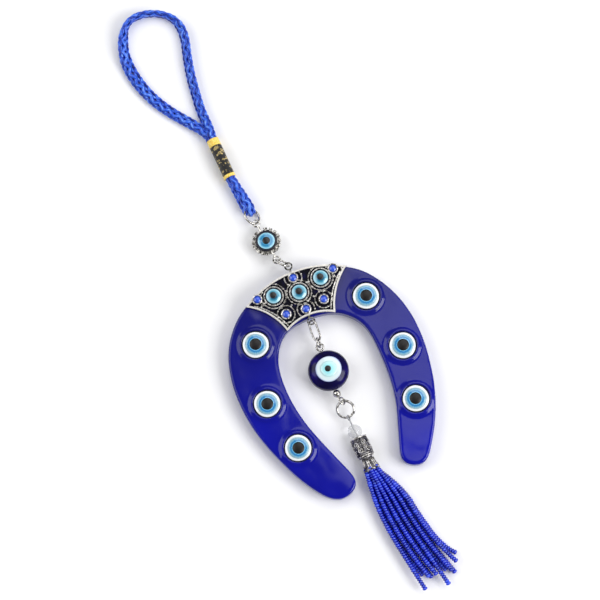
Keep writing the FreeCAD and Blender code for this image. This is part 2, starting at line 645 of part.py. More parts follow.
def strand_names():
    """Each strand's name with its layer, place across and length."""
    count = 0
    for level, strands in STRANDS.items():
        for across, drop in strands:
            count += 1
            yield f"strand_{count:02d}", level, across, drop


def make_strands():
    for name, level, across, drop in strand_names():
        strand, length, radii = route_tube(strand_route(level, across, drop), STRAND)
        print(name, "length", round(length, 1), "radii", [round(radius) for radius in radii])
        save(name, strand)


make_glass()
make_leg_eyes()
make_crown()
make_crown_trim()
make_crown_eyes()
make_connector()
make_upper_links()
make_cord()
make_sleeve()
make_drop_links()
make_pin()
make_eye_bead()
make_split_ring()
make_head()
make_strands()
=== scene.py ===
"""Evil eye ornament: the finishes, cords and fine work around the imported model.

Sizes are in millimetres in the tables and panels, and metres in the meshes.
"""
import math
import random

import bmesh
import bpy
from mathutils import Matrix, Vector, noise
from mathutils.bvhtree import BVHTree


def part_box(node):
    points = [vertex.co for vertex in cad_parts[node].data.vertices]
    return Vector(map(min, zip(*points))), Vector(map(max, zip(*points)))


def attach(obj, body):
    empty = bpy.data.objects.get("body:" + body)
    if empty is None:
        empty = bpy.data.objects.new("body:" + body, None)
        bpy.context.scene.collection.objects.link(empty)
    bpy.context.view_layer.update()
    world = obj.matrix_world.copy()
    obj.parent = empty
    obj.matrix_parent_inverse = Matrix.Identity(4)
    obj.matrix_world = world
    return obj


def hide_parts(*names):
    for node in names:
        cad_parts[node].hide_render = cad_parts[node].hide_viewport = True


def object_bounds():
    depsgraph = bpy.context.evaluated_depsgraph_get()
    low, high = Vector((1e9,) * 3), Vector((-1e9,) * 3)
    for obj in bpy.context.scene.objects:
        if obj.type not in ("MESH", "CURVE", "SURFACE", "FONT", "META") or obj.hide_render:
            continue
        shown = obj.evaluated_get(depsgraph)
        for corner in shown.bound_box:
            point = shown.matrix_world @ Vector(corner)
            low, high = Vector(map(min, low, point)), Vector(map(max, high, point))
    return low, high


bl_info = {
    "name": "Evil Eye Ornament",
    "version": (1, 0, 0),
    "blender": (4, 5, 0),
    "location": "View3D > Sidebar > Ornament",
    "description": "Builds the glass, filigree, cord and bead work of a hanging evil eye ornament",
    "category": "Object",
}

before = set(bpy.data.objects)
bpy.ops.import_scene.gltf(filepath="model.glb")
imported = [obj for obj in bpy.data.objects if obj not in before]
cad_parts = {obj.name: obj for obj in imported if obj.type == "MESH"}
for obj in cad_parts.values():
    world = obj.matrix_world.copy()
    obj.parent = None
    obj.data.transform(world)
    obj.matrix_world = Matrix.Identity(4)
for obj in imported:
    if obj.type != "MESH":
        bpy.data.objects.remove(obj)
CAD_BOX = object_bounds()
MM = 0.001
UP = Vector((0, 0, 1))
TURN = math.radians(22.0)        # of the ornament in the view
LEG_EYES = ["left_upper", "left_middle", "left_lower", "right_upper", "right_middle", "right_lower"]
CROWN_EYES = ["left", "centre", "right"]


def middle(node):
    """The middle of a CAD node's box."""
    low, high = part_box(node)
    return (Vector(low) + Vector(high)) / 2


def spread(node):
    """The size of a CAD node's box along each axis."""
    low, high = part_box(node)
    return Vector(high) - Vector(low)


# ---------------------------------------------------------------- nodes and materials

NOISE, RAMP, RANGE, MIX = "ShaderNodeTexNoise", "ShaderNodeValToRGB", "ShaderNodeMapRange", "ShaderNodeMix"
MATH, VECTOR, BUMP = "ShaderNodeMath", "ShaderNodeVectorMath", "ShaderNodeBump"
SPLIT, JOIN, ATTRIBUTE = "ShaderNodeSeparateXYZ", "ShaderNodeCombineXYZ", "ShaderNodeAttribute"


def linear(code):
    """An sRGB hex colour as linear RGBA."""
    parts = [int(code[i:i + 2], 16) / 255 for i in (1, 3, 5)]
    return [p / 12.92 if p <= 0.04045 else ((p + 0.055) / 1.055) ** 2.4 for p in parts] + [1.0]


def feed(tree, node, inputs):
    """Fills or links a node's inputs. A node given as a value stands for its first output in use."""
    for name, value in inputs.items():
        if isinstance(value, bpy.types.Node):
            value = next(socket for socket in value.outputs if socket.enabled)
        if isinstance(value, bpy.types.NodeSocket):
            tree.links.new(value, node.inputs[name])
        else:
            node.inputs[name].default_value = value


def add(tree, kind, inputs=(), stops=(), **settings):
    """Adds a node. Inputs go by name, or in order; stops are a colour ramp's (place, hex colour) pairs."""
    made = tree.nodes.new(kind)
    for name, value in settings.items():
        setattr(made, name, value)
    for _ in stops[2:]:
        made.color_ramp.elements.new(0.5)
    for element, (place, code) in zip(made.color_ramp.elements if stops else (), stops):
        element.position, element.color = place, linear(code)
    feed(tree, made, inputs if isinstance(inputs, dict) else dict(enumerate(inputs)))
    return made


def start(name, **sockets):
    """A new material: its tree, its shader and Object coordinates."""
    finish = bpy.data.materials.new(name)
    finish.use_nodes = True
    tree = finish.node_tree
    shader = tree.nodes["Principled BSDF"]
    feed(tree, shader, {socket.replace("_", " "): value for socket, value in sockets.items()})
    return finish, tree, shader, tree.nodes.new("ShaderNodeTexCoord").outputs["Object"]


def cobalt_glass():
    """Cast cobalt glass, deep and wet looking: greyer at the crown with painted reflection, a ring of painted
    shade round each leg eye, and painted light making it a little brighter low on its edge.
    """
    finish, tree, shader, place = start("Cast cobalt glass", Roughness=0.12, IOR=1.5, Coat_Weight=0.08,
                                        Coat_Roughness=0.05, Specular_IOR_Level=0.34)
    at = add(tree, SPLIT, (place,)).outputs
    cloud = add(tree, NOISE, {"Vector": place, "Scale": 34.0, "Detail": 2.0})
    # The legs' ramp is the glass's own cobalt, made deeper with painted light coming through from the table.
    # The crown's greyer ramp is a painted reflection of the studio light, mixed in towards the top.
    legs = add(tree, RAMP, (cloud,), [(0.3, "#02068C"), (0.55, "#03099C"), (0.75, "#0810AC")])
    crown = add(tree, RAMP, (cloud,), [(0.3, "#0A0C62"), (0.75, "#121678")])
    up = add(tree, MATH, (at["X"], 0.3, at["Y"]), operation="MULTIPLY_ADD")
    body = add(tree, MIX, {0: add(tree, RANGE, (up, -62 * MM, 0.0)), 6: legs, 7: crown}, data_type="RGBA")
    nearest = 1.0
    for name in LEG_EYES:
        far = add(tree, VECTOR, (place, middle("horseshoe_eye_" + name)), operation="DISTANCE")
        nearest = add(tree, MATH, (far, nearest), operation="MINIMUM")
    # Painted shade: a near-black ring in the glass round each leg eye's seat.
    seat_shade = add(tree, RANGE, (nearest, 5.25 * MM, 5.95 * MM, 0.9, 0.0))
    body = add(tree, MIX, {0: seat_shade, 6: body, 7: linear("#02021C")}, data_type="RGBA")
    # Painted light: the low sides of the glass are mixed towards a brighter blue, as if lit through from the
    # table.
    low = add(tree, RANGE, (at["Z"], 0.0, 5.2 * MM, 1.0, 0.0))
    lit = add(tree, RANGE, (low, 0.0, 1.0, 0.0, 0.35))
    body = add(tree, MIX, {0: lit, 6: body, 7: linear("#1A22B4")}, data_type="RGBA")
    wave = add(tree, NOISE, {"Vector": place, "Scale": 120.0, "Detail": 1.0})
    feed(tree, shader, {"Base Color": body,
                        "Normal": add(tree, BUMP, {"Height": wave, "Distance": 0.12 * MM})})
    return finish


def eye_print(name, stops, reach, streak=0.0):
    """Glossy resin over a round printed eye: rings by distance from the eye's own middle."""
    finish, tree, shader, _ = start(name, Roughness=0.12, IOR=1.5, Coat_Weight=1.0, Coat_Roughness=0.03)
    local = add(tree, ATTRIBUTE, attribute_name="local").outputs["Vector"]
    at = add(tree, SPLIT, (local,)).outputs
    far = add(tree, VECTOR, (add(tree, JOIN, (at["X"], at["Y"])),), operation="LENGTH")
    turn = add(tree, MATH, (at["Y"], at["X"]), operation="ARCTAN2")
    rays = add(tree, NOISE, {"W": turn, "Scale": 9.0, "Detail": 3.0}, noise_dimensions="1D")
    shift = add(tree, MATH, (rays, 0.5), operation="SUBTRACT")
    ring = add(tree, RANGE, (far, 0.0, reach))
    shake = add(tree, MATH, (shift, streak, ring), operation="MULTIPLY_ADD")
    feed(tree, shader, {"Base Color": add(tree, RAMP, (shake,), stops)})
    return finish


def glossy(name, code, roughness=0.12, coat=0.8):
    """A plain glossy resin or glass, with the faintest unevenness of a moulded face."""
    finish, tree, shader, place = start(name, Roughness=roughness, IOR=1.5, Coat_Weight=coat,
                                        Coat_Roughness=0.03)
    fleck = add(tree, NOISE, {"Vector": place, "Scale": 900.0, "Detail": 2.0})
    amount = add(tree, RANGE, (fleck, 0.35, 0.7, 0.0, 0.18))
    feed(tree, shader, {"Base Color": add(tree, MIX, {0: amount, 6: linear(code), 7: linear("#FFFFFF")},
                                          data_type="RGBA", blend_type="SOFT_LIGHT")})
    return finish


def silver_plate(name, bright, dark, low=None, high=None, roughness=0.26):
    """Silver plate over a zinc casting: bright where it is rubbed or high, oxidised in the low places.

    low and high are heights in millimetres. The casting's grain is drawn coarser than it is, to show.
    """
    finish, tree, shader, place = start(name, Metallic=1.0)
    grain = add(tree, NOISE, {"Vector": place, "Scale": 1500.0, "Detail": 4.0})
    worn = add(tree, RANGE, (grain, 0.38, 0.66))
    if low is not None:
        lift = add(tree, RANGE, (add(tree, SPLIT, (place,)).outputs["Z"], low * MM, high * MM))
        worn = add(tree, MATH, (worn, 0.45, lift), operation="MULTIPLY_ADD", use_clamp=True)
    feed(tree, shader, {"Base Color": add(tree, RAMP, (worn,), [(0.1, dark), (0.6, bright)]),
                        "Roughness": add(tree, RANGE, (grain, 0.3, 0.7, roughness * 0.7, roughness * 1.5)),
                        "Normal": add(tree, BUMP, {"Height": grain, "Distance": 0.03 * MM})})
    return finish


def braided_polyester():
    """Shiny royal-blue braid: each yarn has a painted highlight along its crown and painted shade where it
    dives under.
    """
    finish, tree, shader, _ = start("Braided polyester", Roughness=0.3, Sheen_Weight=0.08,
                                    Sheen_Roughness=0.4)
    # local X goes round the yarn once, local Y runs along it in metres, local Z is the yarn's number
    at = add(tree, SPLIT, (add(tree, ATTRIBUTE, attribute_name="local").outputs["Vector"],)).outputs
    turn = add(tree, MATH, (at["X"], math.tau), operation="MULTIPLY")
    # Painted light: the sine of the turn is highest on top of each yarn and lowest where it dives under.
    crown = add(tree, MATH, (turn,), operation="SINE")
    drawn_out = add(tree, MATH, (at["Y"], 380.0), operation="MULTIPLY")
    fibre = add(tree, JOIN, (turn, drawn_out, at["Z"]))
    lines = add(tree, NOISE, {"Vector": fibre, "Scale": 1.6, "Detail": 2.0})
    shade = add(tree, MATH, (lines, 1.7, crown), operation="MULTIPLY_ADD")
    own = add(tree, "ShaderNodeTexWhiteNoise", {"W": at["Z"]}, noise_dimensions="1D")
    shade = add(tree, MATH, (own, 0.35, shade), operation="MULTIPLY_ADD")
    # The dark end of the ramp is painted shade and its light end, #86B6FF, a painted highlight; the fibre
    # lines and each yarn's own tone move the colour along it too.
    tone = add(tree, RAMP, (add(tree, RANGE, (shade, 0.5, 2.45)),), [
        (0.0, "#081E7A"), (0.3, "#0E2C9E"), (0.58, "#1642C2"), (0.78, "#2A66E6"), (1.0, "#86B6FF")])
    feed(tree, shader, {"Base Color": tone,
                        "Normal": add(tree, BUMP, {"Height": lines, "Distance": 0.06 * MM})})
    return finish


def gold_brocade():
    """Black brocade ribbon with an all-over fleck of flat gold thread, coarse enough to show."""
    finish, tree, shader, place = start("Gold-flecked brocade", Sheen_Weight=0.2)
    weave = add(tree, "ShaderNodeTexWave", {"Vector": place, "Scale": 900.0, "Distortion": 1.5},
                wave_type="BANDS", bands_direction="DIAGONAL").outputs["Fac"]
    patch = add(tree, NOISE, {"Vector": place, "Scale": 620.0, "Detail": 2.0})
    gold = add(tree, RANGE, (patch, 0.54, 0.6))
    cloth = add(tree, RAMP, (weave,), [(0.2, "#070709"), (0.8, "#1C1B1E")])
    thread = add(tree, RAMP, (weave,), [(0.2, "#8C7640"), (0.8, "#E0CC8E")])
    feed(tree, shader, {"Base Color": add(tree, MIX, {0: gold, 6: cloth, 7: thread}, data_type="RGBA"),
                        "Metallic": add(tree, RANGE, (gold, 0.0, 1.0, 0.0, 0.7)),
                        "Roughness": add(tree, RANGE, (gold, 0.0, 1.0, 0.7, 0.35)),
                        "Normal": add(tree, BUMP, {"Height": weave, "Distance": 0.1 * MM})})
    return finish


def wound_thread(name, code, light):
    """Embroidery thread: a soft sheen and a fine twist, drawn coarser than it is, to show."""
    finish, tree, shader, place = start(name, Roughness=0.55, Sheen_Weight=0.4, Sheen_Roughness=0.4)
    twist = add(tree, NOISE, {"Vector": place, "Scale": 1800.0, "Detail": 2.0})
    feed(tree, shader, {"Base Color": add(tree, RAMP, (twist,), [(0.35, code), (0.65, light)]),
                        "Normal": add(tree, BUMP, {"Height": twist, "Distance": 0.05 * MM})})
    return finish


def clear_glass():
    """Clear pressed glass with a faint frost."""
    finish, tree, shader, place = start("Clear pressed glass", IOR=1.24, Transmission_Weight=0.84)
    haze = add(tree, NOISE, {"Vector": place, "Scale": 600.0, "Detail": 3.0})
    feed(tree, shader, {"Roughness": add(tree, RANGE, (haze, 0.4, 0.7, 0.0, 0.05)),
                        "Base Color": add(tree, RAMP, (haze,), [(0.3, "#FAFBFC"), (0.7, "#FFFFFF")])})
    return finish


def seed_glass():
    """Silver-lined ultramarine seed beads: each bead has its own tone, and a painted highlight on its faces
    that point up.
    """
    finish, tree, shader, _ = start("Ultramarine seed glass", Roughness=0.24, IOR=1.52, Coat_Weight=0.3,
                                    Coat_Roughness=0.12, Specular_IOR_Level=0.3)
    own = add(tree, ATTRIBUTE, attribute_name="tone").outputs["Fac"]
    tone = add(tree, RAMP, (own,), [(0.0, "#060C94"), (0.5, "#0A14B2"), (0.85, "#1626CC"), (1.0, "#2E48E0")])
    # Painted highlight: faces that point up are mixed towards a pale blue, as light from above would show
    # them.
    facing = add(tree, SPLIT, (add(tree, "ShaderNodeNewGeometry").outputs["Normal"],)).outputs["Z"]
    upward_highlight = add(tree, RANGE, (facing, 0.72, 1.0, 0.0, 0.62))
    feed(tree, shader, {"Base Color": add(tree, MIX, {0: upward_highlight, 6: tone, 7: linear("#5C7CF4")},
                                          data_type="RGBA")})
    return finish


def dark_enamel():
    """Near-black navy enamel, low and dull in its cells, with a faint mottle."""
    finish, tree, shader, place = start("Dark enamel", Roughness=0.5, IOR=1.45, Specular_IOR_Level=0.12)
    mottle = add(tree, NOISE, {"Vector": place, "Scale": 500.0, "Detail": 2.0})
    tone = add(tree, RAMP, (mottle,), [(0.35, "#010108"), (0.6, "#04041C"), (0.75, "#0C0C3C")])
    feed(tree, shader, {"Base Color": tone,
                        "Normal": add(tree, BUMP, {"Height": mottle, "Distance": 0.1 * MM})})
    return finish


def glass_stone(colour):
    """Small foil-backed glass stones: clear blue in the middle, with painted shade darkening them towards the
    rim.
    """
    finish, tree, shader, _ = start("Royal blue glass stone", Roughness=0.1, IOR=1.55, Coat_Weight=0.7)
    local = add(tree, ATTRIBUTE, attribute_name="local").outputs["Vector"]
    flat = add(tree, VECTOR, (local, (1.0, 1.0, 0.0)), operation="MULTIPLY")
    reach = add(tree, VECTOR, (flat,), operation="LENGTH")
    # Painted shade: the stone darkens to about a third of its colour towards its rim.
    rim = add(tree, RANGE, (reach, 0.9 * MM, 1.5 * MM))
    feed(tree, shader, {"Base Color": add(tree, MIX, {
        0: rim, 6: (*colour, 1.0), 7: (*[part * 0.35 for part in colour], 1.0)}, data_type="RGBA")})
    return finish


def lampworked_glass():
    """Dark cobalt glass wound at the lamp, with slow violet swirls under a soft shine."""
    finish, tree, shader, place = start("Dark lampworked glass", Roughness=0.16, IOR=1.52, Coat_Weight=0.04,
                                        Coat_Roughness=0.1, Specular_IOR_Level=0.2)
    swirl = add(tree, NOISE, {"Vector": place, "Scale": 160.0, "Detail": 3.0})
    tone = add(tree, RAMP, (swirl,), [(0.35, "#060230"), (0.55, "#0C0446"), (0.7, "#1C0A74")])
    feed(tree, shader, {"Base Color": tone})
    return finish


def plain(name, colour, **sockets):
    """One even colour, for paper or dull resin."""
    return start(name, Base_Color=(*colour, 1), **sockets)[0]


# ---------------------------------------------------------------- shapes

def on_scene(name, data):
    """A new object, linked to the scene."""
    made = bpy.data.objects.new(name, data)
    bpy.context.scene.collection.objects.link(made)
    return made


class Shape:
    """Points and faces of one piece. Each point keeps a local place that its material can read."""

    def __init__(self):
        self.points, self.faces, self.locals = [], [], []

    def point(self, place, local=(0, 0, 0)):
        self.points.append(Vector(place))
        self.locals.append(Vector(local))
        return len(self.points) - 1

    def skin(self, rows, closed=False, capped=False):
        """Faces between neighbouring closed rows of points; a row of one point is a pole."""
        for first, second in zip(rows, rows[1:] + rows[:1] if closed else rows[1:]):
            count = max(len(first), len(second))
            for i in range(count):
                j = (i + 1) % count
                if len(first) == 1:
                    self.faces.append((first[0], second[j], second[i]))
                elif len(second) == 1:
                    self.faces.append((first[i], first[j], second[0]))
                else:
                    self.faces.append((first[i], first[j], second[j], second[i]))
        if capped and len(rows[0]) > 1:
            self.faces.append(tuple(reversed(rows[0])))
        if capped and len(rows[-1]) > 1:
            self.faces.append(tuple(rows[-1]))

    def lathe(self, profile, place, sides=48, wobble=None):
        """Turns (radius, height) points, in metres, about Z and puts the result at place."""
        rows = []
        for radius, height in profile:
            row = []
            for i in range(1 if radius == 0 else sides):
                turn = math.tau * i / sides
                far = radius * (wobble(turn, height) if wobble else 1.0)
                local = Vector((far * math.cos(turn), far * math.sin(turn), height))
                row.append(self.point(place @ local, local))
            rows.append(row)
        self.skin(rows, capped=profile[0] != profile[-1])

    def tube(self, line, radius, sides=10, closed=False):
        """A round rod along a line, or round a closed one."""
        count = len(line)
        side, rows = None, []
        for i, place in enumerate(line):
            if closed:
                along = line[(i + 1) % count] - line[i - 1]
            else:
                along = line[min(i + 1, count - 1)] - line[max(i - 1, 0)]
            along = along.normalized()
            side = (side - along * side.dot(along) if rows else along.orthogonal()).normalized()
            other = along.cross(side)
            turns = [math.tau * k / sides for k in range(sides)]
            rows.append([self.point(place + (side * math.cos(turn) + other * math.sin(turn)) * radius)
                         for turn in turns])
        self.skin(rows, closed, not closed)

    def ball(self, place, radius, sides=12):
        """A round ball, with half as many rows as sides."""
        steps = sides // 2
        profile = [(radius * math.sin(math.pi * k / steps), -radius * math.cos(math.pi * k / steps))
                   for k in range(steps + 1)]
        profile[0], profile[-1] = (0, profile[0][1]), (0, profile[-1][1])
        self.lathe(profile, Matrix.Translation(place), sides)

    def washer(self, inside, outside, floor, thick, place):
        """A flat ring."""
        self.lathe([(inside, floor), (outside, floor), (outside, floor + thick), (inside, floor + thick),
                    (inside, floor)], place)

    def piece(self, name):
        """The shape as an object in the scene, smooth and with its faces pointing out."""
        mesh = bpy.data.meshes.new(name)
        mesh.from_pydata(self.points, [], self.faces)
        mesh.attributes.new("local", "FLOAT_VECTOR", "POINT")
        for slot, local in zip(mesh.attributes["local"].data, self.locals):
            slot.vector = local
        work = bmesh.new()
        work.from_mesh(mesh)
        bmesh.ops.recalc_face_normals(work, faces=work.faces)
        work.to_mesh(mesh)
        work.free()
        mesh.shade_smooth()
        return on_scene(name, mesh)


def pupil_profile(radius, under, height, steps=6):
    """A raised round pupil as (radius, height) points.

    height takes a radius and the share of the rise that is reached there.
    """
    points = [(0, under)]
    for k in range(steps + 1):
        lean = math.pi / 2 * k / steps
        far = radius * math.cos(lean) if k < steps else 0
        points.append((far, height(far, math.sin(lean))))
    return points


def facing(seat, direction):
    """A place at a point, with its Z on a direction."""
    z = direction.normalized()
    x = UP.cross(z)
    x = x.normalized() if x.length > 1e-6 else z.orthogonal().normalized()
    return Matrix.Translation(seat) @ Matrix((x, z.cross(x), z)).transposed().to_4x4()


def upright(seat):
    """A place over or under a point, level with the origin."""
    return Matrix.Translation((seat.x, seat.y, 0))


def circle(centre, high, radius, count):
    """Points round a level circle."""
    x = UP.orthogonal().normalized()
    y = UP.cross(x)
    turns = [math.tau * k / count for k in range(count)]
    centre = Vector((centre.x, centre.y, high))
    return [centre + (x * math.cos(turn) + y * math.sin(turn)) * radius for turn in turns]


def normal_through(centre, first, second):
    """The upward normal of a flat thing's plane, from its middle and two points on it."""
    normal = (first - centre).cross(second - centre).normalized()
    return normal if normal.z > 0 else -normal


def smooth_line(points, count):
    """Even points on the centre line of a NURBS spline whose control points are a route."""
    curve = bpy.data.curves.new("route", "CURVE")
    curve.dimensions = "3D"
    spline = curve.splines.new("NURBS")
    spline.points.add(len(points) - 1)
    for slot, place in zip(spline.points, points):
        slot.co = (*place, 1.0)
    spline.order_u = 3
    spline.use_endpoint_u = True
    curve.resolution_u = 24
    holder = on_scene("route", curve)
    mesh = bpy.data.meshes.new_from_object(holder)
    line = [vertex.co.copy() for vertex in mesh.vertices]
    bpy.data.objects.remove(holder)
    bpy.data.curves.remove(curve)
    bpy.data.meshes.remove(mesh)
    return even(line, count)


def even(line, count):
    """The same line with its points evenly spaced."""
    reach = [0.0]
    for first, second in zip(line, line[1:]):
        reach.append(reach[-1] + (second - first).length)
    placed, k = [], 0
    for i in range(count):
        want = reach[-1] * i / (count - 1)
        while k < len(line) - 2 and reach[k + 1] < want:
            k += 1
        part = (want - reach[k]) / max(reach[k + 1] - reach[k], 1e-12)
        placed.append(line[k].lerp(line[k + 1], min(max(part, 0.0), 1.0)))
    return placed


def length_of(line):
    """The length along a line of points."""
    return sum((second - first).length for first, second in zip(line, line[1:]))


def merged(node):
    """A CAD node's faces, with their shared points joined, to be freed by the caller."""
    work = bmesh.new()
    work.from_mesh(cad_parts[node].data)
    bmesh.ops.remove_doubles(work, verts=work.verts, dist=0.002 * MM)
    return work


def put(piece, body, slot, finish, *nodes):
    """Gives a piece its finish and its body, and hides the CAD nodes that it stands for."""
    piece.data.materials.clear()
    piece.data.materials.append(finish)
    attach(piece, body)
    if nodes:
        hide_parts(*nodes)
    return piece


def refinish(finish, *nodes):
    """CAD nodes keep their shape and get a better finish."""
    for node in nodes:
        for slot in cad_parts[node].material_slots:
            slot.material = finish


# ---------------------------------------------------------------- sizes and colours to change

def length(name, value, note):
    return bpy.props.FloatProperty(name=name, description=note, default=value * MM, min=0.0,
                                   unit="LENGTH", precision=5)


def tint(name, code, note):
    return bpy.props.FloatVectorProperty(name=name, description=note, default=linear(code)[:3], size=3,
                                         subtype="COLOR", min=0.0, max=1.0)


class GlassSizes(bpy.types.PropertyGroup):
    grain: length("Glass mesh", 0.36, "Distance between the points of the cast glass")
    wave: length("Casting wave", 0.10, "How far the cast face strays from flat")
    eye: length("Leg eye", 10.3, "Diameter of an eye set in a leg")
    iris: length("Iris", 7.9, "Diameter of the printed blue ring")
    pupil: length("Pupil", 4.9, "Diameter of the raised black pupil")
    pupil_rise: length("Pupil rise", 0.42, "Height of the black pupil above its eye")


class CordSizes(bpy.types.PropertyGroup):
    wide: length("Braid width", 4.2, "Width of the flattened tubular braid")
    thick: length("Braid thickness", 2.3, "Thickness of the braid")
    yarn: length("Yarn", 1.2, "Diameter of one yarn of the braid")
    yarns: bpy.props.IntProperty(name="Yarns", description="Yarns in the braid, half each way round",
                                 default=8, min=4, max=24)
    lay: length("Braid lay", 19.0, "Length in which a yarn goes once round the braid")


class BeadSizes(bpy.types.PropertyGroup):
    wide: length("Seed bead", 2.0, "Diameter of a seed bead")
    pitch: length("Bead pitch", 0.98, "Length that one seed bead takes up on its thread")
    seed: bpy.props.IntProperty(name="Seed", description="Changes the uneven sizes of the beads", default=7)


class FinishColours(bpy.types.PropertyGroup):
    pupil: tint("Pupil", "#0B090A", "Raised resin pupils")
    stone: tint("Stone", "#2250D2", "Small round stones")
    floor: tint("Floor", "#FBFBFC", "The table that the ornament lies on")


GROUPS = {"ornament_glass": GlassSizes, "ornament_cord": CordSizes, "ornament_beads": BeadSizes,
          "ornament_colours": FinishColours}


def sizes(name):
    return getattr(bpy.context.scene, "ornament_" + name)


class Maker(bpy.types.Operator):
    """Base of the ornament's operators: each makes its pieces once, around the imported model"""
    bl_idname = "ornament.maker"
    bl_label = "Make a piece"

    def execute(self, context):
        self.make()
        return {"FINISHED"}


# ---------------------------------------------------------------- glass horseshoe and its eyes

def cast_copy(node, name, grain, wave):
    """A copy of a CAD node as one even skin, softened and waved as a hand casting is."""
    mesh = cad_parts[node].data.copy()
    work = merged(node)
    work.to_mesh(mesh)
    work.free()
    rough = on_scene(name + "_rough", mesh)
    remesh = rough.modifiers.new("Skin", "REMESH")
    remesh.mode = "VOXEL"
    remesh.voxel_size = grain
    soften = rough.modifiers.new("Soften", "SMOOTH")
    soften.factor = 0.5
    soften.iterations = 4
    skin = bpy.data.meshes.new_from_object(rough.evaluated_get(bpy.context.evaluated_depsgraph_get()))
    bpy.data.objects.remove(rough)
    low = min(vertex.co.z for vertex in skin.vertices)
    normals = [normal.vector.copy() for normal in skin.vertex_normals]
    for vertex, normal in zip(skin.vertices, normals):
        lift = noise.noise(vertex.co * 75) + 0.5 * noise.noise(vertex.co * 190)
        place = vertex.co + normal * (lift * wave)
        place.z = max(place.z, low)
        vertex.co = place
    skin.shade_smooth()
    return on_scene(name, skin)


class OrnamentGlass(Maker):
    """The cast cobalt-glass horseshoe, with its softly uneven face"""
    bl_idname = "ornament.glass"
    bl_label = "Glass horseshoe"

    def make(self):
        size = sizes("glass")
        glass = cast_copy("glass_horseshoe", "cast_horseshoe", size.grain, size.wave)
        put(glass, "horseshoe", "horseshoe_glass", cobalt_glass(), "glass_horseshoe")


def cabochon_profile(radius, floor, side, peak, steps=8):
    """A round slab with a rolled edge and a low dome, as (radius, height) points."""
    roll = min(0.25 * MM, (side - floor) / 2)
    points = [(0, floor), (radius, floor), (radius, side - roll)]
    for k in range(1, 4):
        turn = math.pi / 2 * k / 3
        points.append((radius - roll * (1 - math.cos(turn)), side - roll + roll * math.sin(turn)))
    for k in range(1, steps + 1):
        part = 1 - k / steps
        points.append(((radius - roll) * part, side + (peak - side) * (1 - part * part)))
    return points


def print_layer(radius, dome, lift, steps=10):
    """A thin layer that follows a dome: dome gives the height at a radius."""
    top = [(radius * (1 - k / steps), dome(radius * (1 - k / steps)) + lift) for k in range(steps + 1)]
    return [(0, dome(0) - lift), (radius, dome(radius) - lift), *top]


class OrnamentLegEyes(Maker):
    """The six white eyes of the legs, with their printed irises and raised pupils"""
    bl_idname = "ornament.leg_eyes"
    bl_label = "Leg eyes"

    SHOWN = 0.975                # made radius of an eye, of the size in the panel
    PUPIL_SHOWN = 0.94           # made radius of a pupil, of the size in the panel
    SHOULDER = 0.67              # height of the eye's side, of its whole height
    ASTRAY = 0.15                # how far a print strays from its eye's middle

    def make(self):
        size = sizes("glass")
        random.seed(11)
        white = eye_print("Printed eye resin", [
            (0.0, "#2A7FC0"), (0.7, "#8CB8CA"), (0.77, "#A4C4D0"), (0.83, "#E2ECF0"), (0.9, "#F6F8FA"),
            (0.96, "#F0F1F8"), (1.0, "#BCC2E0")], size.eye / 2, streak=0.07)
        blue = eye_print("Printed iris", [
            (0.0, "#8FD2F0"), (0.56, "#8FD2F0"), (0.63, "#5AB2E2"), (0.69, "#1C6CB2"), (0.78, "#3088C4"),
            (0.86, "#6FAECC"), (1.0, "#A4C4D0")], size.iris / 2, streak=0.2)
        black = plain("Black pupil resin", sizes("colours").pupil, Roughness=0.38, IOR=1.5,
                      Specular_IOR_Level=0.4)
        irises, pupils = Shape(), Shape()
        for name in LEG_EYES:
            node = "horseshoe_eye_" + name
            low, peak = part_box(node)[0][2], spread(node).z
            side, radius = peak * self.SHOULDER, size.eye / 2 * self.SHOWN

            def dome(far):
                return side + (peak - side) * (1 - (far / radius) ** 2)

            turn = Matrix.Rotation(random.uniform(0, math.tau), 4, "Z")
            seat = Matrix.Translation((*middle(node).xy, low)) @ turn
            astray = [random.uniform(-self.ASTRAY, self.ASTRAY) for _ in "xy"]
            printed = Matrix.Translation(Vector((*astray, 0)) * MM) @ seat
            eye = Shape()
            eye.lathe(cabochon_profile(radius, 0, side, peak, 14), seat, 64,
                      lambda angle, _, t=random.uniform(0, 9): 1 + 0.012 * math.sin(3 * angle + t))
            put(eye.piece("eye_" + name), "horseshoe", "eye_white", white, node)
            irises.lathe(print_layer(size.iris / 2, dome, 0.03 * MM), printed, 56)
            pupils.lathe(pupil_profile(size.pupil / 2 * self.PUPIL_SHOWN, dome(0) - 0.1 * MM,
                                       lambda far, up: dome(far) + size.pupil_rise * up ** 0.8, 8),
                         printed, 40)
        put(irises.piece("leg_irises"), "horseshoe", "eye_blue", blue, "horseshoe_irises")
        put(pupils.piece("leg_pupils"), "horseshoe", "eye_black", black, "horseshoe_pupils")


# ---------------------------------------------------------------- braided cord and its sleeve

# The cord's control points, from its first end in the sleeve, round the loop and the ring.
CORD_ROUTE = [
    (-8.4, 61.3, 2.2), (-8.8, 69.5, 2.2), (-10.0, 74.0, 2.2), (-14.0, 79.6, 1.6), (-19.1, 86.0, 1.25),
    (-24.0, 93.9, 1.25), (-27.2, 102.9, 1.25), (-28.4, 112.1, 1.4), (-26.6, 120.4, 1.8),
    (-22.4, 127.0, 2.1), (-16.0, 128.2, 2.1), (-8.3, 125.6, 2.1), (-3.6, 120.6, 2.1), (-2.8, 113.6, 1.9),
    (-5.1, 105.4, 1.5), (-6.9, 96.4, 1.25), (-7.7, 88.4, 1.25), (-8.2, 83.0, 1.25), (-8.1, 78.2, 1.9),
    (-7.9, 73.8, 2.9), (-8.3, 69.7, 4.1), (-7.6, 52.9, 4.1), (-5.8, 42.9, 3.89), (-5.0, 37.2, 3.89),
    (-6.3, 36.9, 1.29), (-6.9, 42.6, 1.29), (-7.9, 52.7, 2.2), (-8.4, 60.9, 2.2),
]
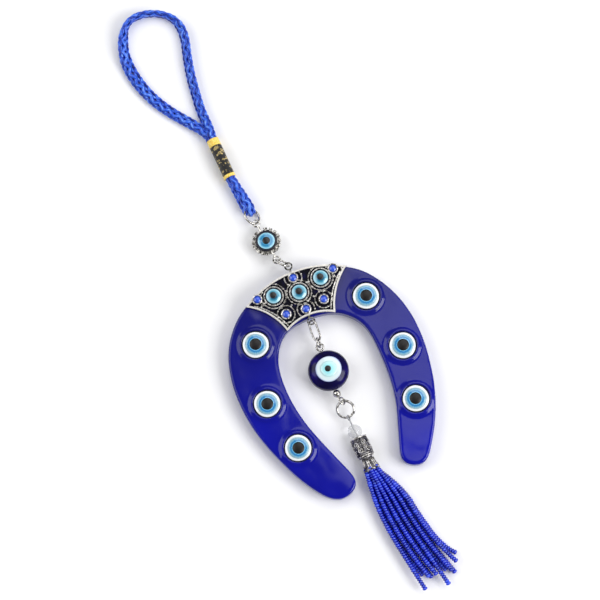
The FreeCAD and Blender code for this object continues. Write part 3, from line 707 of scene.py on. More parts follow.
# (share of its length, degrees turned on edge, share of its full width, share of its full thickness)
CORD_LIE = [
    (0.0, 0, 0.7, 1.0), (0.05, 0, 0.7, 1.0), (0.1, 0, 0.88, 1.0), (0.25, 0, 1.02, 1.0), (0.31, 40, 1.0, 0.9),
    (0.36, 80, 1.0, 0.74), (0.43, 80, 0.96, 0.74), (0.49, 48, 0.96, 0.9), (0.66, 40, 0.9, 0.95),
    (0.71, 0, 0.68, 1.0), (0.8, 0, 0.7, 1.0), (0.87, 0, 0.86, 1.0), (0.94, 0, 0.76, 1.0), (1.0, 0, 0.7, 1.0),
]
CORD_POINTS = 430
YARN_WIDE, YARN_THICK = 0.64, 0.38          # half sizes of a yarn's section, in yarns
YARN_LIFT = 0.27                            # how far a yarn rises over another, in yarns
OPPOSED = 10                                # added to the numbers of the yarns that go the other way


def cord_lie(part):
    """The cord's roll in degrees and its shares of width and thickness, at a share of its length."""
    for low, high in zip(CORD_LIE, CORD_LIE[1:]):
        if part <= high[0]:
            mix = (part - low[0]) / (high[0] - low[0])
            mix = mix * mix * (3 - 2 * mix)
            return [a + (b - a) * mix for a, b in zip(low[1:], high[1:])]
    return list(CORD_LIE[-1][1:])


def frames_along(line):
    """Each point's direction and side, carried along the line without twist from a level start."""
    side, made = (line[1] - line[0]).cross(UP), []
    for i in range(len(line)):
        along = (line[min(i + 1, len(line) - 1)] - line[max(i - 1, 0)]).normalized()
        side = (side - along * side.dot(along)).normalized()
        made.append((along, side))
    return made


def braid(line, size):
    """A flat tubular braid: half the yarns go each way round, over one and under one."""
    made = Shape()
    count = len(line)
    step = length_of(line) / (count - 1)
    half_yarns = size.yarns // 2
    axes, shaded_core = [], []
    for i, (along, side) in enumerate(frames_along(line)):
        roll, share, full = cord_lie(i / (count - 1))
        turned_side = Matrix.Rotation(math.radians(roll), 3, along) @ side
        axes.append((turned_side, along.cross(turned_side), size.wide * share, size.thick * full))
    # Painted shade: the core inside the braid gets local X 0.75, the darkest point of the yarns' painted
    # shade, so the gaps between yarns show dark.
    for place, (side, over, wide, thick) in zip(line, axes):
        row = []
        for k in range(12):
            turn = math.tau * k / 12
            out = side * (math.cos(turn) * (wide - size.yarn * 1.3) / 2)
            out += over * (math.sin(turn) * (thick - size.yarn * 1.2) / 2)
            row.append(made.point(place + out, (0.75, 0, 0)))
        shaded_core.append(row)
    made.skin(shaded_core)
    for way, first in ((1, 0.0), (-1, 0.25)):
        for index in range(half_yarns):
            path = []
            for i, (side, over, wide, thick) in enumerate(axes):
                swing = math.tau * i * step / size.lay
                turn = math.tau * (index + first) / half_yarns + way * swing
                crossing = half_yarns * (swing + math.tau * 0.125 / half_yarns)
                lift = way * math.cos(crossing) * size.yarn * YARN_LIFT
                across = (wide - size.yarn * 0.62) / 2 + lift
                deep = (thick - size.yarn * 0.62) / 2 + lift
                place = line[i] + side * (math.cos(turn) * across) + over * (math.sin(turn) * deep)
                out = (side * (math.cos(turn) * deep) + over * (math.sin(turn) * across)).normalized()
                path.append((place, out))
            rings = []
            for i, (place, out) in enumerate(path):
                ahead = (path[min(i + 1, count - 1)][0] - path[max(i - 1, 0)][0]).normalized()
                across = ahead.cross(out).normalized()
                ring = []
                for k in range(8):
                    turn = math.tau * k / 8
                    at_side = across * (math.cos(turn) * size.yarn * YARN_WIDE)
                    at_top = out * (math.sin(turn) * size.yarn * YARN_THICK)
                    local = (k / 8, i * step, index + (OPPOSED if way < 0 else 0))
                    ring.append(made.point(place + at_side + at_top, local))
                rings.append(ring)
            made.skin(rings, capped=True)
    return made


class OrnamentCord(Maker):
    """The flat braided cord, looped above and folded through its ring"""
    bl_idname = "ornament.cord"
    bl_label = "Hanging cord"

    def make(self):
        size = sizes("cord")
        line = smooth_line([Vector(place) * MM for place in CORD_ROUTE], CORD_POINTS)
        for i, place in enumerate(line):
            roll, share, full = cord_lie(i / (len(line) - 1))
            lean = math.radians(roll)
            high = math.hypot(size.wide * share * math.sin(lean), size.thick * full * math.cos(lean)) / 2
            place.z = max(place.z, high + size.yarn * 0.2)
        made = put(braid(line, size).piece("braided_cord"), "hanging_loop", "blue_cord",
                   braided_polyester(), "hanging_cord")


def oval_sleeve(line, wide, high, wall, waves=0):
    """A soft oval tube along a line, open at both ends, with an optional weave of ridges."""
    made, sides, last = Shape(), 40, len(line) - 1
    outer, inner = [], []
    for i, (along, side) in enumerate(frames_along(line)):
        over = along.cross(side)
        ridge = 0.04 * MM * math.cos(math.tau * waves * i / last) if waves else 0.0
        row, hollow = [], []
        for k in range(sides):
            turn = math.tau * k / sides
            for ring, grow in ((row, ridge), (hollow, -wall)):
                out = side * (math.cos(turn) * (wide / 2 + grow))
                out += over * (math.sin(turn) * (high / 2 + grow))
                ring.append(made.point(line[i] + out, (k / sides, i / last, 0)))
        outer.append(row)
        inner.append(hollow)
    made.skin(outer)
    made.skin(inner)
    made.skin([inner[0], outer[0]])
    made.skin([outer[-1], inner[-1]])
    return made


def node_line(node, count):
    """The straight middle line of a CAD node that lies along the sleeve."""
    slope = (middle("sleeve_band_upper") - middle("sleeve_band_lower")).normalized()
    reach = spread(node).y / slope.y / 2 - 0.2 * MM
    return [middle(node) + slope * (reach * (2 * i / (count - 1) - 1)) for i in range(count)]


class OrnamentSleeve(Maker):
    """The brocade sleeve that binds the cord, with a wound yellow band at each end"""
    bl_idname = "ornament.sleeve"
    bl_label = "Brocade sleeve"

    SLACK_WIDE, SLACK_HIGH = 0.5, 0.95   # of the sleeve, over two braids one on the other
    THREAD = 0.42                        # each turn of a band

    def make(self):
        size = sizes("cord")
        wide, high = size.wide + self.SLACK_WIDE * MM, 2 * size.thick + self.SLACK_HIGH * MM
        brocade = oval_sleeve(node_line("sleeve_brocade", 40), wide, high, 0.3 * MM)
        put(brocade.piece("brocade_sleeve"), "hanging_loop", "black_brocade", gold_brocade(),
            "sleeve_brocade", "sleeve_tube")
        thread = wound_thread("Yellow wound thread", "#F0C238", "#FFEA84")
        for end in ("upper", "lower"):
            line = node_line("sleeve_band_" + end, 61)
            turns = max(3, round(length_of(line) / (self.THREAD * MM)))
            band = oval_sleeve(line, wide + 0.1 * MM, high + 0.1 * MM, 0.5 * MM, turns)
            put(band.piece("wound_band_" + end), "hanging_loop", "yellow_thread", thread,
                "sleeve_band_" + end)


# ---------------------------------------------------------------- beaded strands

# (below the bell, middle of the fan, half its width) where the strands' control points are
FAN = [(9.8, 1.85, 5.6), (22.8, 3.05, 6.2), (36.8, 6.0, 6.8)]
FAN_END = (8.75, 7.4)
BELL_END = Vector((0.28, -73.39, 3.2))
STRAND_REST = 1.0
LAYER_STEP = 1.95
BUNDLE = 2.35                   # radius of the strands' roots in the bell
BUNDLE_DROP = 0.9
# (place across the fan, length below the bell)
STRANDS = {
    "upper": [(-1.0, 48.6), (-0.6, 44.7), (-0.2, 45.0), (0.2, 50.1), (0.6, 45.8), (1.0, 43.3)],
    "lower": [(-0.85, 43.3), (-0.45, 45.3), (-0.05, 42.3), (0.35, 44.8), (0.75, 46.8), (1.15, 40.2)],
}


def strand_route(level, index):
    """One strand's control points, from its root under the bell to its last bead."""
    across, drop = STRANDS[level][index]
    high = STRAND_REST + (LAYER_STEP if level == "upper" else 0.0)
    turn = math.radians(165 - 30 * index) * (1 if level == "upper" else -1)
    reach = BUNDLE if index % 2 == 0 else BUNDLE * 0.5
    places = [Vector((reach * math.cos(turn), BUNDLE_DROP, BELL_END.z + reach * math.sin(turn)))]
    places += [Vector((mid + across * half, -down, high)) for down, mid, half in FAN]
    places.append(Vector((FAN_END[0] + across * FAN_END[1], -drop, high)))
    return [(Vector((BELL_END.x, BELL_END.y, 0)) + place) * MM for place in places]


def group_tree(name, inputs):
    """A Geometry Nodes group with named inputs, (name, socket type, default), and a finish."""
    tree = bpy.data.node_groups.new(name, "GeometryNodeTree")
    tree.interface.new_socket("Geometry", in_out="INPUT", socket_type="NodeSocketGeometry")
    for label, kind, value in inputs:
        tree.interface.new_socket(label, in_out="INPUT", socket_type=kind).default_value = value
    tree.interface.new_socket("Finish", in_out="INPUT", socket_type="NodeSocketMaterial")
    tree.interface.new_socket("Geometry", in_out="OUTPUT", socket_type="NodeSocketGeometry")
    return tree, tree.nodes.new("NodeGroupInput").outputs


def close_group(tree, given, parts, *kinds):
    """Ends a group: its parts pass through nodes of the given kinds and take the finish."""
    for kind in kinds:
        parts = add(tree, "GeometryNode" + kind, {"Geometry": parts})
    done = add(tree, "GeometryNodeSetMaterial", {"Geometry": parts, "Material": given["Finish"]})
    add(tree, "NodeGroupOutput", {"Geometry": done})
    return tree


def grown(name, tree, lines, finish, closed=False, **values):
    """Runs a node group on lines of points and keeps the result as one plain mesh."""
    mesh = bpy.data.meshes.new(name)
    points, links = [], []
    for line in lines:
        first = len(points)
        points += [tuple(place) for place in line]
        links += [(i, i + 1) for i in range(first, len(points) - 1)]
        if closed:
            links.append((len(points) - 1, first))
    mesh.from_pydata(points, links, [])
    holder = on_scene(name + "_line", mesh)
    modifier = holder.modifiers.new("Grow", "NODES")
    modifier.node_group = tree
    values["Finish"] = finish
    for item in tree.interface.items_tree:
        if item.in_out == "INPUT" and item.name in values:
            modifier[item.identifier] = values[item.name]
    ready = holder.evaluated_get(bpy.context.evaluated_depsgraph_get())
    result = bpy.data.meshes.new_from_object(ready)
    holder.modifiers.clear()
    bpy.data.objects.remove(holder)
    bpy.data.meshes.remove(mesh)
    result.name = name
    return on_scene(name, result)


def bead_string_tree():
    """Seed beads threaded on a line: each has its own size and tone, and thread shows between them."""
    tree, given = group_tree("Bead string", [
        ("Bead", "NodeSocketFloat", 2.0 * MM), ("Pitch", "NodeSocketFloat", 0.98 * MM),
        ("Flat", "NodeSocketFloat", 0.66), ("Thread", "NodeSocketFloat", 0.4 * MM),
        ("Seed", "NodeSocketInt", 0)])
    line = add(tree, "GeometryNodeMeshToCurve", {"Mesh": given["Geometry"]})
    spots = add(tree, "GeometryNodeResampleCurve", {"Curve": line, "Length": given["Pitch"]}, mode="LENGTH")
    radius = add(tree, MATH, (given["Bead"], 0.5), operation="MULTIPLY")
    ball = add(tree, "GeometryNodeMeshUVSphere", {"Segments": 9, "Rings": 6, "Radius": radius})
    squash = add(tree, JOIN, (1.0, 1.0, given["Flat"]))
    bead = add(tree, "GeometryNodeTransform", {"Geometry": ball, "Scale": squash})
    size = add(tree, "FunctionNodeRandomValue", {2: 0.93, 3: 1.04, "Seed": given["Seed"]}, data_type="FLOAT")
    ahead = add(tree, "GeometryNodeInputTangent")
    turn = add(tree, "FunctionNodeAlignRotationToVector", {"Vector": ahead}, axis="Z")
    placed = add(tree, "GeometryNodeInstanceOnPoints", {
        "Points": spots, "Instance": bead, "Rotation": turn, "Scale": size})
    tone = add(tree, "FunctionNodeRandomValue", {"Seed": given["Seed"]}, data_type="FLOAT")
    marked = add(tree, "GeometryNodeStoreNamedAttribute", {
        "Geometry": placed, "Name": "tone", "Value": tone}, data_type="FLOAT", domain="INSTANCE")
    inside = add(tree, "GeometryNodeCurvePrimitiveCircle", {"Resolution": 6, "Radius": given["Thread"]})
    thread = add(tree, "GeometryNodeCurveToMesh", {"Curve": line, "Profile Curve": inside, "Fill Caps": True})
    both = add(tree, "GeometryNodeJoinGeometry", {"Geometry": marked})
    feed(tree, both, {"Geometry": thread})
    return close_group(tree, given, both, "RealizeInstances", "SetShadeSmooth")


class OrnamentStrands(Maker):
    """The twelve strings of seed beads that fan out under the bell"""
    bl_idname = "ornament.strands"
    bl_label = "Beaded strands"

    def make(self):
        size = sizes("beads")
        finish, tree = seed_glass(), bead_string_tree()
        strands = [(level, index) for level in STRANDS for index in range(len(STRANDS[level]))]
        for count, (level, index) in enumerate(strands, 1):
            name = f"strand_{count:02d}"
            line = smooth_line(strand_route(level, index), 60)
            string = grown("beaded_" + name, tree, [line], finish, Bead=size.wide, Pitch=size.pitch,
                           Thread=0.45 * MM, Seed=size.seed + count)
            put(string, name, "seed_beads", finish, name)


# ---------------------------------------------------------------- findings

SPLIT_RING = 6.93               # across the coil's middle line, in millimetres
SPLIT_CLOSE = 0.4               # how much nearer its inner end is
SPLIT_RISE = 0.55               # and how much higher
SPLIT_WIRE = 0.8
PLATING = 0.05


def plated(node, body, finish):
    """A CAD wire, thickened a little all over and smooth, as plating leaves it."""
    work = merged(node)
    work.normal_update()
    for vertex, normal in [(vertex, vertex.normal.copy()) for vertex in work.verts]:
        vertex.co += normal * (PLATING * MM)
    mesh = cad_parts[node].data.copy()
    work.to_mesh(mesh)
    work.free()
    mesh.shade_smooth()
    put(on_scene(node + "_plated", mesh), body, "bright_silver", finish, node)


def skin_normal(node):
    """The direction that a flat ring's node faces, turned upward."""
    points = [vertex.co.copy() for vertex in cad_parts[node].data.vertices]
    centre = sum(points, Vector()) / len(points)
    first = max(points, key=lambda place: (place - centre).length)
    second = max(points, key=lambda place: (first - centre).cross(place - centre).length)
    return normal_through(centre, first, second)


class OrnamentFindings(Maker):
    """The wire links, rings, pin and small ball, in bright silver plate"""
    bl_idname = "ornament.findings"
    bl_label = "Links and rings"

    def make(self):
        bright = silver_plate("Bright silver plate", "#DEDCD8", "#86837E", roughness=0.2)
        for node in ("link_ring", "cord_ring", "drop_link_upper", "drop_link_lower", "eye_pin"):
            plated(node, node, bright)
        plated("spacer_ball", "eye_pin", bright)
        seat = facing(middle("split_ring"), skin_normal("split_ring"))
        coil = []
        for part in (k / 120 for k in range(121)):
            turn, far = math.tau * 2 * part, SPLIT_RING * MM / 2 - SPLIT_CLOSE * MM * part
            lift = (part - 0.5) * SPLIT_RISE * MM
            coil.append(seat @ Vector((math.cos(turn) * far, math.sin(turn) * far, lift)))
        turns = Shape()
        turns.tube(coil, SPLIT_WIRE * MM / 2)
        put(turns.piece("split_ring_coil"), "split_ring", "bright_silver", bright, "split_ring")


# ---------------------------------------------------------------- silver filigree

def rope_tree():
    """Twisted wire: two strands turned round each line."""
    tree, given = group_tree("Twisted wire", [
        ("Wire", "NodeSocketFloat", 0.14 * MM), ("Lay", "NodeSocketFloat", 0.9 * MM)])
    line = add(tree, "GeometryNodeMeshToCurve", {"Mesh": given["Geometry"]})
    step = add(tree, MATH, (given["Lay"], 0.125), operation="MULTIPLY")
    fine = add(tree, "GeometryNodeResampleCurve", {"Curve": line, "Length": step}, mode="LENGTH")
    reach = add(tree, "GeometryNodeSplineParameter").outputs["Length"]
    turns = add(tree, MATH, (reach, given["Lay"]), operation="DIVIDE")
    tilt = add(tree, MATH, (turns, math.tau), operation="MULTIPLY")
    tilted = add(tree, "GeometryNodeSetCurveTilt", {"Curve": fine, "Tilt": tilt})
    ring = add(tree, "GeometryNodeCurvePrimitiveCircle", {"Resolution": 6, "Radius": given["Wire"]})
    pair = add(tree, "GeometryNodeJoinGeometry")
    for way in (-0.85, 0.85):
        shift = add(tree, JOIN, (add(tree, MATH, (given["Wire"], way), operation="MULTIPLY"),))
        strand = add(tree, "GeometryNodeTransform", {"Geometry": ring, "Translation": shift})
        feed(tree, pair, {"Geometry": strand})
    rope = add(tree, "GeometryNodeCurveToMesh", {"Curve": tilted, "Profile Curve": pair, "Fill Caps": True})
    return close_group(tree, given, rope, "SetShadeSmooth", "RealizeInstances")


def islands(node):
    """The (middle, half size) of each loose solid in a CAD node, from left to right."""
    work = merged(node)
    left, found = set(work.verts), []
    while left:
        todo, group = [left.pop()], []
        while todo:
            vertex = todo.pop()
            group.append(vertex.co.copy())
            for edge in vertex.link_edges:
                other = edge.other_vert(vertex)
                if other in left:
                    left.remove(other)
                    todo.append(other)
        low = Vector([min(place[k] for place in group) for k in range(3)])
        high = Vector([max(place[k] for place in group) for k in range(3)])
        found.append(((low + high) / 2, (high - low) / 2))
    work.free()
    return sorted(found, key=lambda item: tuple(item[0]))


def skin_of(node):
    """A search tree over a CAD node's faces."""
    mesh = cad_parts[node].data
    mesh.calc_loop_triangles()
    return BVHTree.FromPolygons([vertex.co for vertex in mesh.vertices],
                                [tuple(face.vertices) for face in mesh.loop_triangles])


def runs_on(field, ring, keep_off, high):
    """The stretches of a ring that lie on the enamel and clear of the bezels, at a height."""
    def clear(place):
        if any((place.xy - centre.xy).length < radius for centre, radius in keep_off):
            return False
        return field.ray_cast(Vector((place.x, place.y, 1.0)), -UP)[0] is not None
    runs, run = [], []
    for place in [spot if clear(spot) else None for spot in ring] + [None]:
        if place is None:
            if len(run) > 3:
                runs.append(run)
            run = []
        else:
            run.append(Vector((place.x, place.y, high)))
    return runs


SMALL_EYE = [(0.0, "#0E3F5A"), (0.4, "#15506E"), (0.5, "#2A7C9C"), (0.66, "#4A9EBC"), (0.76, "#86C6DC"),
             (0.92, "#A6D8E8"), (1.0, "#7FB4C8")]


class OrnamentCrown(Maker):
    """The pierced filigree crown: rope borders, scrolls, granules, bezels, eyes and stones"""
    bl_idname = "ornament.crown"
    bl_label = "Filigree crown"

    STONE_SCROLL, EYE_SCROLL = 3.35, 4.75        # radii of the scrolls round a stone and an eye
    STONE_ROOM, EYE_ROOM = 0.5, 1.15             # how far the scrolls keep off a stone and an eye
    SCROLL_HIGH, GRAIN_HIGH, WELL_HIGH, RIM_HIGH = 0.16, 0.3, 0.6, 0.72     # over the enamel
    EYE_GROWN, STONE_GROWN = 0.3, 0.14           # wider in radius than the CAD eye and stone
    PUPIL, PUPIL_RISE = 1.25, 0.3
    GRAIN, GRAIN_STEP = 0.4, 5                   # radius of a grain, and every fifth point has one

    def make(self):
        bright = silver_plate("Rubbed antique silver", "#F2F0EC", "#8A857E", roughness=0.26)
        refinish(silver_plate("Antique silver plate", "#E2DFDA", "#0E0D0E", 6.75, 7.15, 0.3), "crown_plate")
        refinish(dark_enamel(), "crown_enamel", "connector_enamel")
        refinish(bright, "crown_rope_borders")
        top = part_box("crown_enamel")[1][2]
        field = skin_of("crown_enamel")
        stones, eyes = islands("crown_stones"), [middle("crown_eye_" + name) for name in CROWN_EYES]
        eye_radius = spread("crown_eye_centre").x / 2
        keep_off = [(centre, eye_radius + self.EYE_ROOM * MM) for centre in eyes]
        keep_off += [(centre, half.x + self.STONE_ROOM * MM) for centre, half in stones]

        def runs(high, stone_points, eye_points):
            """The clear stretches of the scrolls' circles, at a height over the enamel."""
            rounds = [(centre, self.STONE_SCROLL * MM, stone_points) for centre, _ in stones]
            rounds += [(centre, self.EYE_SCROLL * MM, eye_points) for centre in eyes]
            return [run for centre, radius, points in rounds
                    for run in runs_on(field, circle(centre, top, radius, points), keep_off, top + high * MM)]

        scrolls = grown("crown_scroll_wires", rope_tree(), runs(self.SCROLL_HIGH, 60, 72), bright,
                        Wire=0.15 * MM, Lay=0.8 * MM)
        put(scrolls, "horseshoe", "antique_silver", bright, "crown_scrolls")
        self.bezels(top, stones, eyes, eye_radius, bright)
        grains = Shape()
        for centre, half in islands("crown_granules"):
            grains.ball(centre, half.x)
        for run in runs(self.GRAIN_HIGH, 9 * self.GRAIN_STEP, 12 * self.GRAIN_STEP):
            for spot in run[2::self.GRAIN_STEP]:
                grains.ball(spot, self.GRAIN * MM, 10)
        put(grains.piece("crown_grains"), "horseshoe", "antique_silver", bright, "crown_granules")
        self.eyes_and_stones(top, stones, eyes, eye_radius)

    def bezels(self, top, stones, eyes, eye_radius, bright):
        """The stones' collars, the dark wells round the eyes and the milled edges of the wells."""
        rim = top + self.RIM_HIGH * MM
        collars, wells = Shape(), Shape()
        for centre, half in stones:
            collars.tube(circle(centre, rim, half.x + 0.42 * MM, 40), 0.27 * MM, closed=True)
        for centre in eyes:
            wells.washer(eye_radius - 0.1 * MM, eye_radius + 1.1 * MM, top + self.WELL_HIGH * MM, 0.09 * MM,
                         upright(centre))
        put(collars.piece("stone_collars"), "horseshoe", "antique_silver", bright)
        put(wells.piece("bezel_wells"), "horseshoe", "antique_silver",
            silver_plate("Oxidised bezel well", "#3A3A44", "#0B0B14", roughness=0.4))
        milled = [circle(centre, rim, eye_radius + 0.98 * MM, 64) for centre in eyes]
        rings = grown("milled_bezels", bead_string_tree(), milled, bright, True, Bead=0.5 * MM,
                      Pitch=0.56 * MM, Flat=0.9, Thread=0.14 * MM, Seed=3)
        put(rings, "horseshoe", "antique_silver", bright)

    def eyes_and_stones(self, top, stones, eyes, eye_radius):
        """The printed eyes with their raised pupils, and the domed stones."""
        radius = eye_radius + self.EYE_GROWN * MM
        finish = eye_print("Small printed eye", SMALL_EYE, radius, streak=0.1)
        pupils, gems = Shape(), Shape()
        for name, centre in zip(CROWN_EYES, eyes):
            node = "crown_eye_" + name
            low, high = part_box(node)
            eye = Shape()
            eye.lathe(cabochon_profile(radius, low[2], top + 0.8 * MM, high[2] + 0.1 * MM),
                      upright(centre), 32)
            put(eye.piece("crown_cabochon_" + name), "horseshoe", "small_eye", finish, node)
            floor = high[2] - 0.08 * MM
            pupils.lathe(pupil_profile(self.PUPIL * MM, floor,
                                       lambda _, up: floor + self.PUPIL_RISE * MM * (0.35 + 0.65 * up)),
                         upright(centre + Vector((-0.1, 0.35, 0)) * MM), 24)
        put(pupils.piece("crown_pupil_domes"), "horseshoe", "eye_black",
            glossy("Small black pupil", "#0A0A0E", 0.3, 0.2), "crown_pupils")
        for centre, half in stones:
            gems.lathe(cabochon_profile(half.x + self.STONE_GROWN * MM, centre.z - half.z, top + 0.78 * MM,
                                        centre.z + half.z + 0.1 * MM), upright(centre), 24)
        put(gems.piece("crown_gems"), "horseshoe", "blue_stone", glass_stone(sizes("colours").stone),
            "crown_stones")


class OrnamentConnector(Maker):
    """The round eye connector, with claws of twin balls round a dark dish"""
    bl_idname = "ornament.connector"
    bl_label = "Eye connector"

    CLAW = 0.62                  # size of a claw, of its CAD bead's radius
    EYE_GROWN = 0.25             # wider in radius, and higher, than the CAD eye
    PUPIL, PUPIL_RISE = 1.45, 0.22

    def make(self):
        silver = silver_plate("Aged silver casting", "#ECEAE5", "#2E2A26", roughness=0.26)
        refinish(silver, "connector_frame")
        balls = islands("connector_beads")
        centre = sum((place for place, _ in balls), Vector()) / len(balls)
        normal = normal_through(centre, balls[0][0], balls[len(balls) // 2 - 1][0])
        claws = Shape()
        for place, half in balls:
            size = half.x * self.CLAW
            out = (place - centre).normalized() * size
            across, up = normal.cross(out), normal * size
            for way in (-1, 1):
                claws.ball(place + out * 0.35 + across * (way * 0.72) + up * 0.3, size * 0.78, 10)
            claws.tube([place - out * 1.1 + up * 0.5, place - out * 0.4 + up * 0.75, place + out * 0.4],
                       size * 0.46, 8)
            claws.ball(place - out * 1.1 + up * 0.55, size * 0.5, 10)
            claws.ball(place - up * 0.6, size * 0.95, 10)
        put(claws.piece("connector_claws"), "connector", "antique_silver", silver, "connector_beads")

        size = spread("connector_eye")
        radius = size.x / 2 + self.EYE_GROWN * MM
        seat = facing(middle("connector_eye") + normal * (self.EYE_GROWN * MM), normal)
        thick = max(size.z / 2 - radius * normal.xy.length, 0.4 * MM)
        eye, well, pupil = Shape(), Shape(), Shape()
        eye.lathe(cabochon_profile(radius, -thick, thick * 0.35, thick), seat, 40)
        put(eye.piece("connector_cabochon"), "connector", "small_eye", eye_print("Connector printed eye", [
            (0.0, "#0F5A86"), (0.42, "#14628E"), (0.5, "#4AA6D0"), (0.57, "#1C74A8"), (0.7, "#3690C0"),
            (0.8, "#64B4D8"), (0.91, "#A8DCEE"), (1.0, "#5FA8C4")], radius, streak=0.14), "connector_eye")
        well.washer(radius - 0.1 * MM, radius + 0.8 * MM, thick * 0.1, 0.1 * MM, seat)
        put(well.piece("connector_well"), "connector", "navy_enamel",
            glossy("Connector enamel", "#03031C", 0.45, 0.0))
        pupil.lathe(pupil_profile(self.PUPIL * MM, thick - 0.1 * MM,
                                  lambda _, up: thick + self.PUPIL_RISE * MM * up), seat, 28)
        put(pupil.piece("connector_pupil_dome"), "connector", "eye_black",
            glossy("Connector pupil", "#0A0A0E", 0.3, 0.2), "connector_pupil")


# ---------------------------------------------------------------- hanging eye bead

class OrnamentEyeBead(Maker):
    """The lampworked eye bead: dark cobalt glass under white, pale cyan and black layers"""
    bl_idname = "ornament.eye_bead"
    bl_label = "Eye bead"

    CYAN_GROWN = 1.35            # wider than the CAD iris

    def make(self):
        refinish(lampworked_glass(), "eye_bead_glass")
        centre = middle("eye_bead_white")
        low, top = (corner[2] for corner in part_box("eye_bead_white"))
        white_radius = spread("eye_bead_white").x / 2
        cyan_radius = spread("eye_bead_iris").x / 2 * self.CYAN_GROWN
        black_radius = spread("eye_bead_pupil").x / 2

        def soft(turn, _):
            return 1 + 0.02 * math.sin(2 * turn + 1.0) + 0.012 * math.sin(3 * turn)

        def squarish(turn, _):
            return 1 + 0.02 * math.cos(4 * (turn - math.pi / 4 + TURN))

        white, cyan, black = Shape(), Shape(), Shape()
        white.lathe(cabochon_profile(white_radius, low, top - 0.32 * MM, top, 10), upright(centre), 56, soft)
        put(white.piece("bead_white_layer"), "eye_bead", "bead_white", eye_print("Opal white glass", [
            (0.0, "#C8EEF0"), (0.55, "#D2EEF0"), (0.85, "#DCEAEE"), (0.95, "#C8D6EA"), (1.0, "#7C90CC")],
            white_radius), "eye_bead_white")
        cyan.lathe([(0, top - 0.2 * MM), (cyan_radius, top - 0.2 * MM), (cyan_radius, top - 0.01 * MM),
                    (cyan_radius * 0.8, top + 0.03 * MM), (0, top + 0.06 * MM)], upright(centre), 48, soft)
        put(cyan.piece("bead_cyan_layer"), "eye_bead", "bead_cyan", eye_print("Pale cyan glass", [
            (0.0, "#84DCE4"), (0.5, "#98E2EA"), (0.75, "#B4E8EC"), (1.0, "#CDEEF0")], cyan_radius),
            "eye_bead_iris")
        black.lathe([(0, top - 0.1 * MM), (black_radius, top - 0.1 * MM), (black_radius, top + 0.07 * MM),
                     (black_radius * 0.7, top + 0.14 * MM), (0, top + 0.16 * MM)],
                    upright(centre + Vector((-0.25, 0.2, 0)) * MM), 32, squarish)
        put(black.piece("bead_black_layer"), "eye_bead", "eye_black",
            glossy("Black glass dot", "#040306", 0.3, 0.1), "eye_bead_pupil")


# ---------------------------------------------------------------- tassel head

# turns of a relief spiral, its first radius, and how much wider each turn is
SPIRAL_TURNS, SPIRAL_EYE, SPIRAL_STEP = 1.6, 0.14, 0.72


def on_axis(origin, axis, reach, radius=0.0, turn=0.0):
    """A point at a distance along an axis and round it."""
    side = axis.cross(UP).normalized()
    over = side.cross(axis)
    return origin + axis * reach + (side * math.cos(turn) + over * math.sin(turn)) * radius


def spiral(reach, middle_turn, start_turn, origin, axis, body):
    """A flat spiral laid on a cylinder of the body's radius."""
    points = []
    for k in range(int(SPIRAL_TURNS * 16) + 1):
        angle = start_turn + math.tau * k / 16
        far = SPIRAL_EYE * MM + SPIRAL_STEP * MM * k / 16
        points.append(on_axis(origin, axis, reach + far * math.sin(angle), body,
                              middle_turn + far * math.cos(angle) / body))
    return points


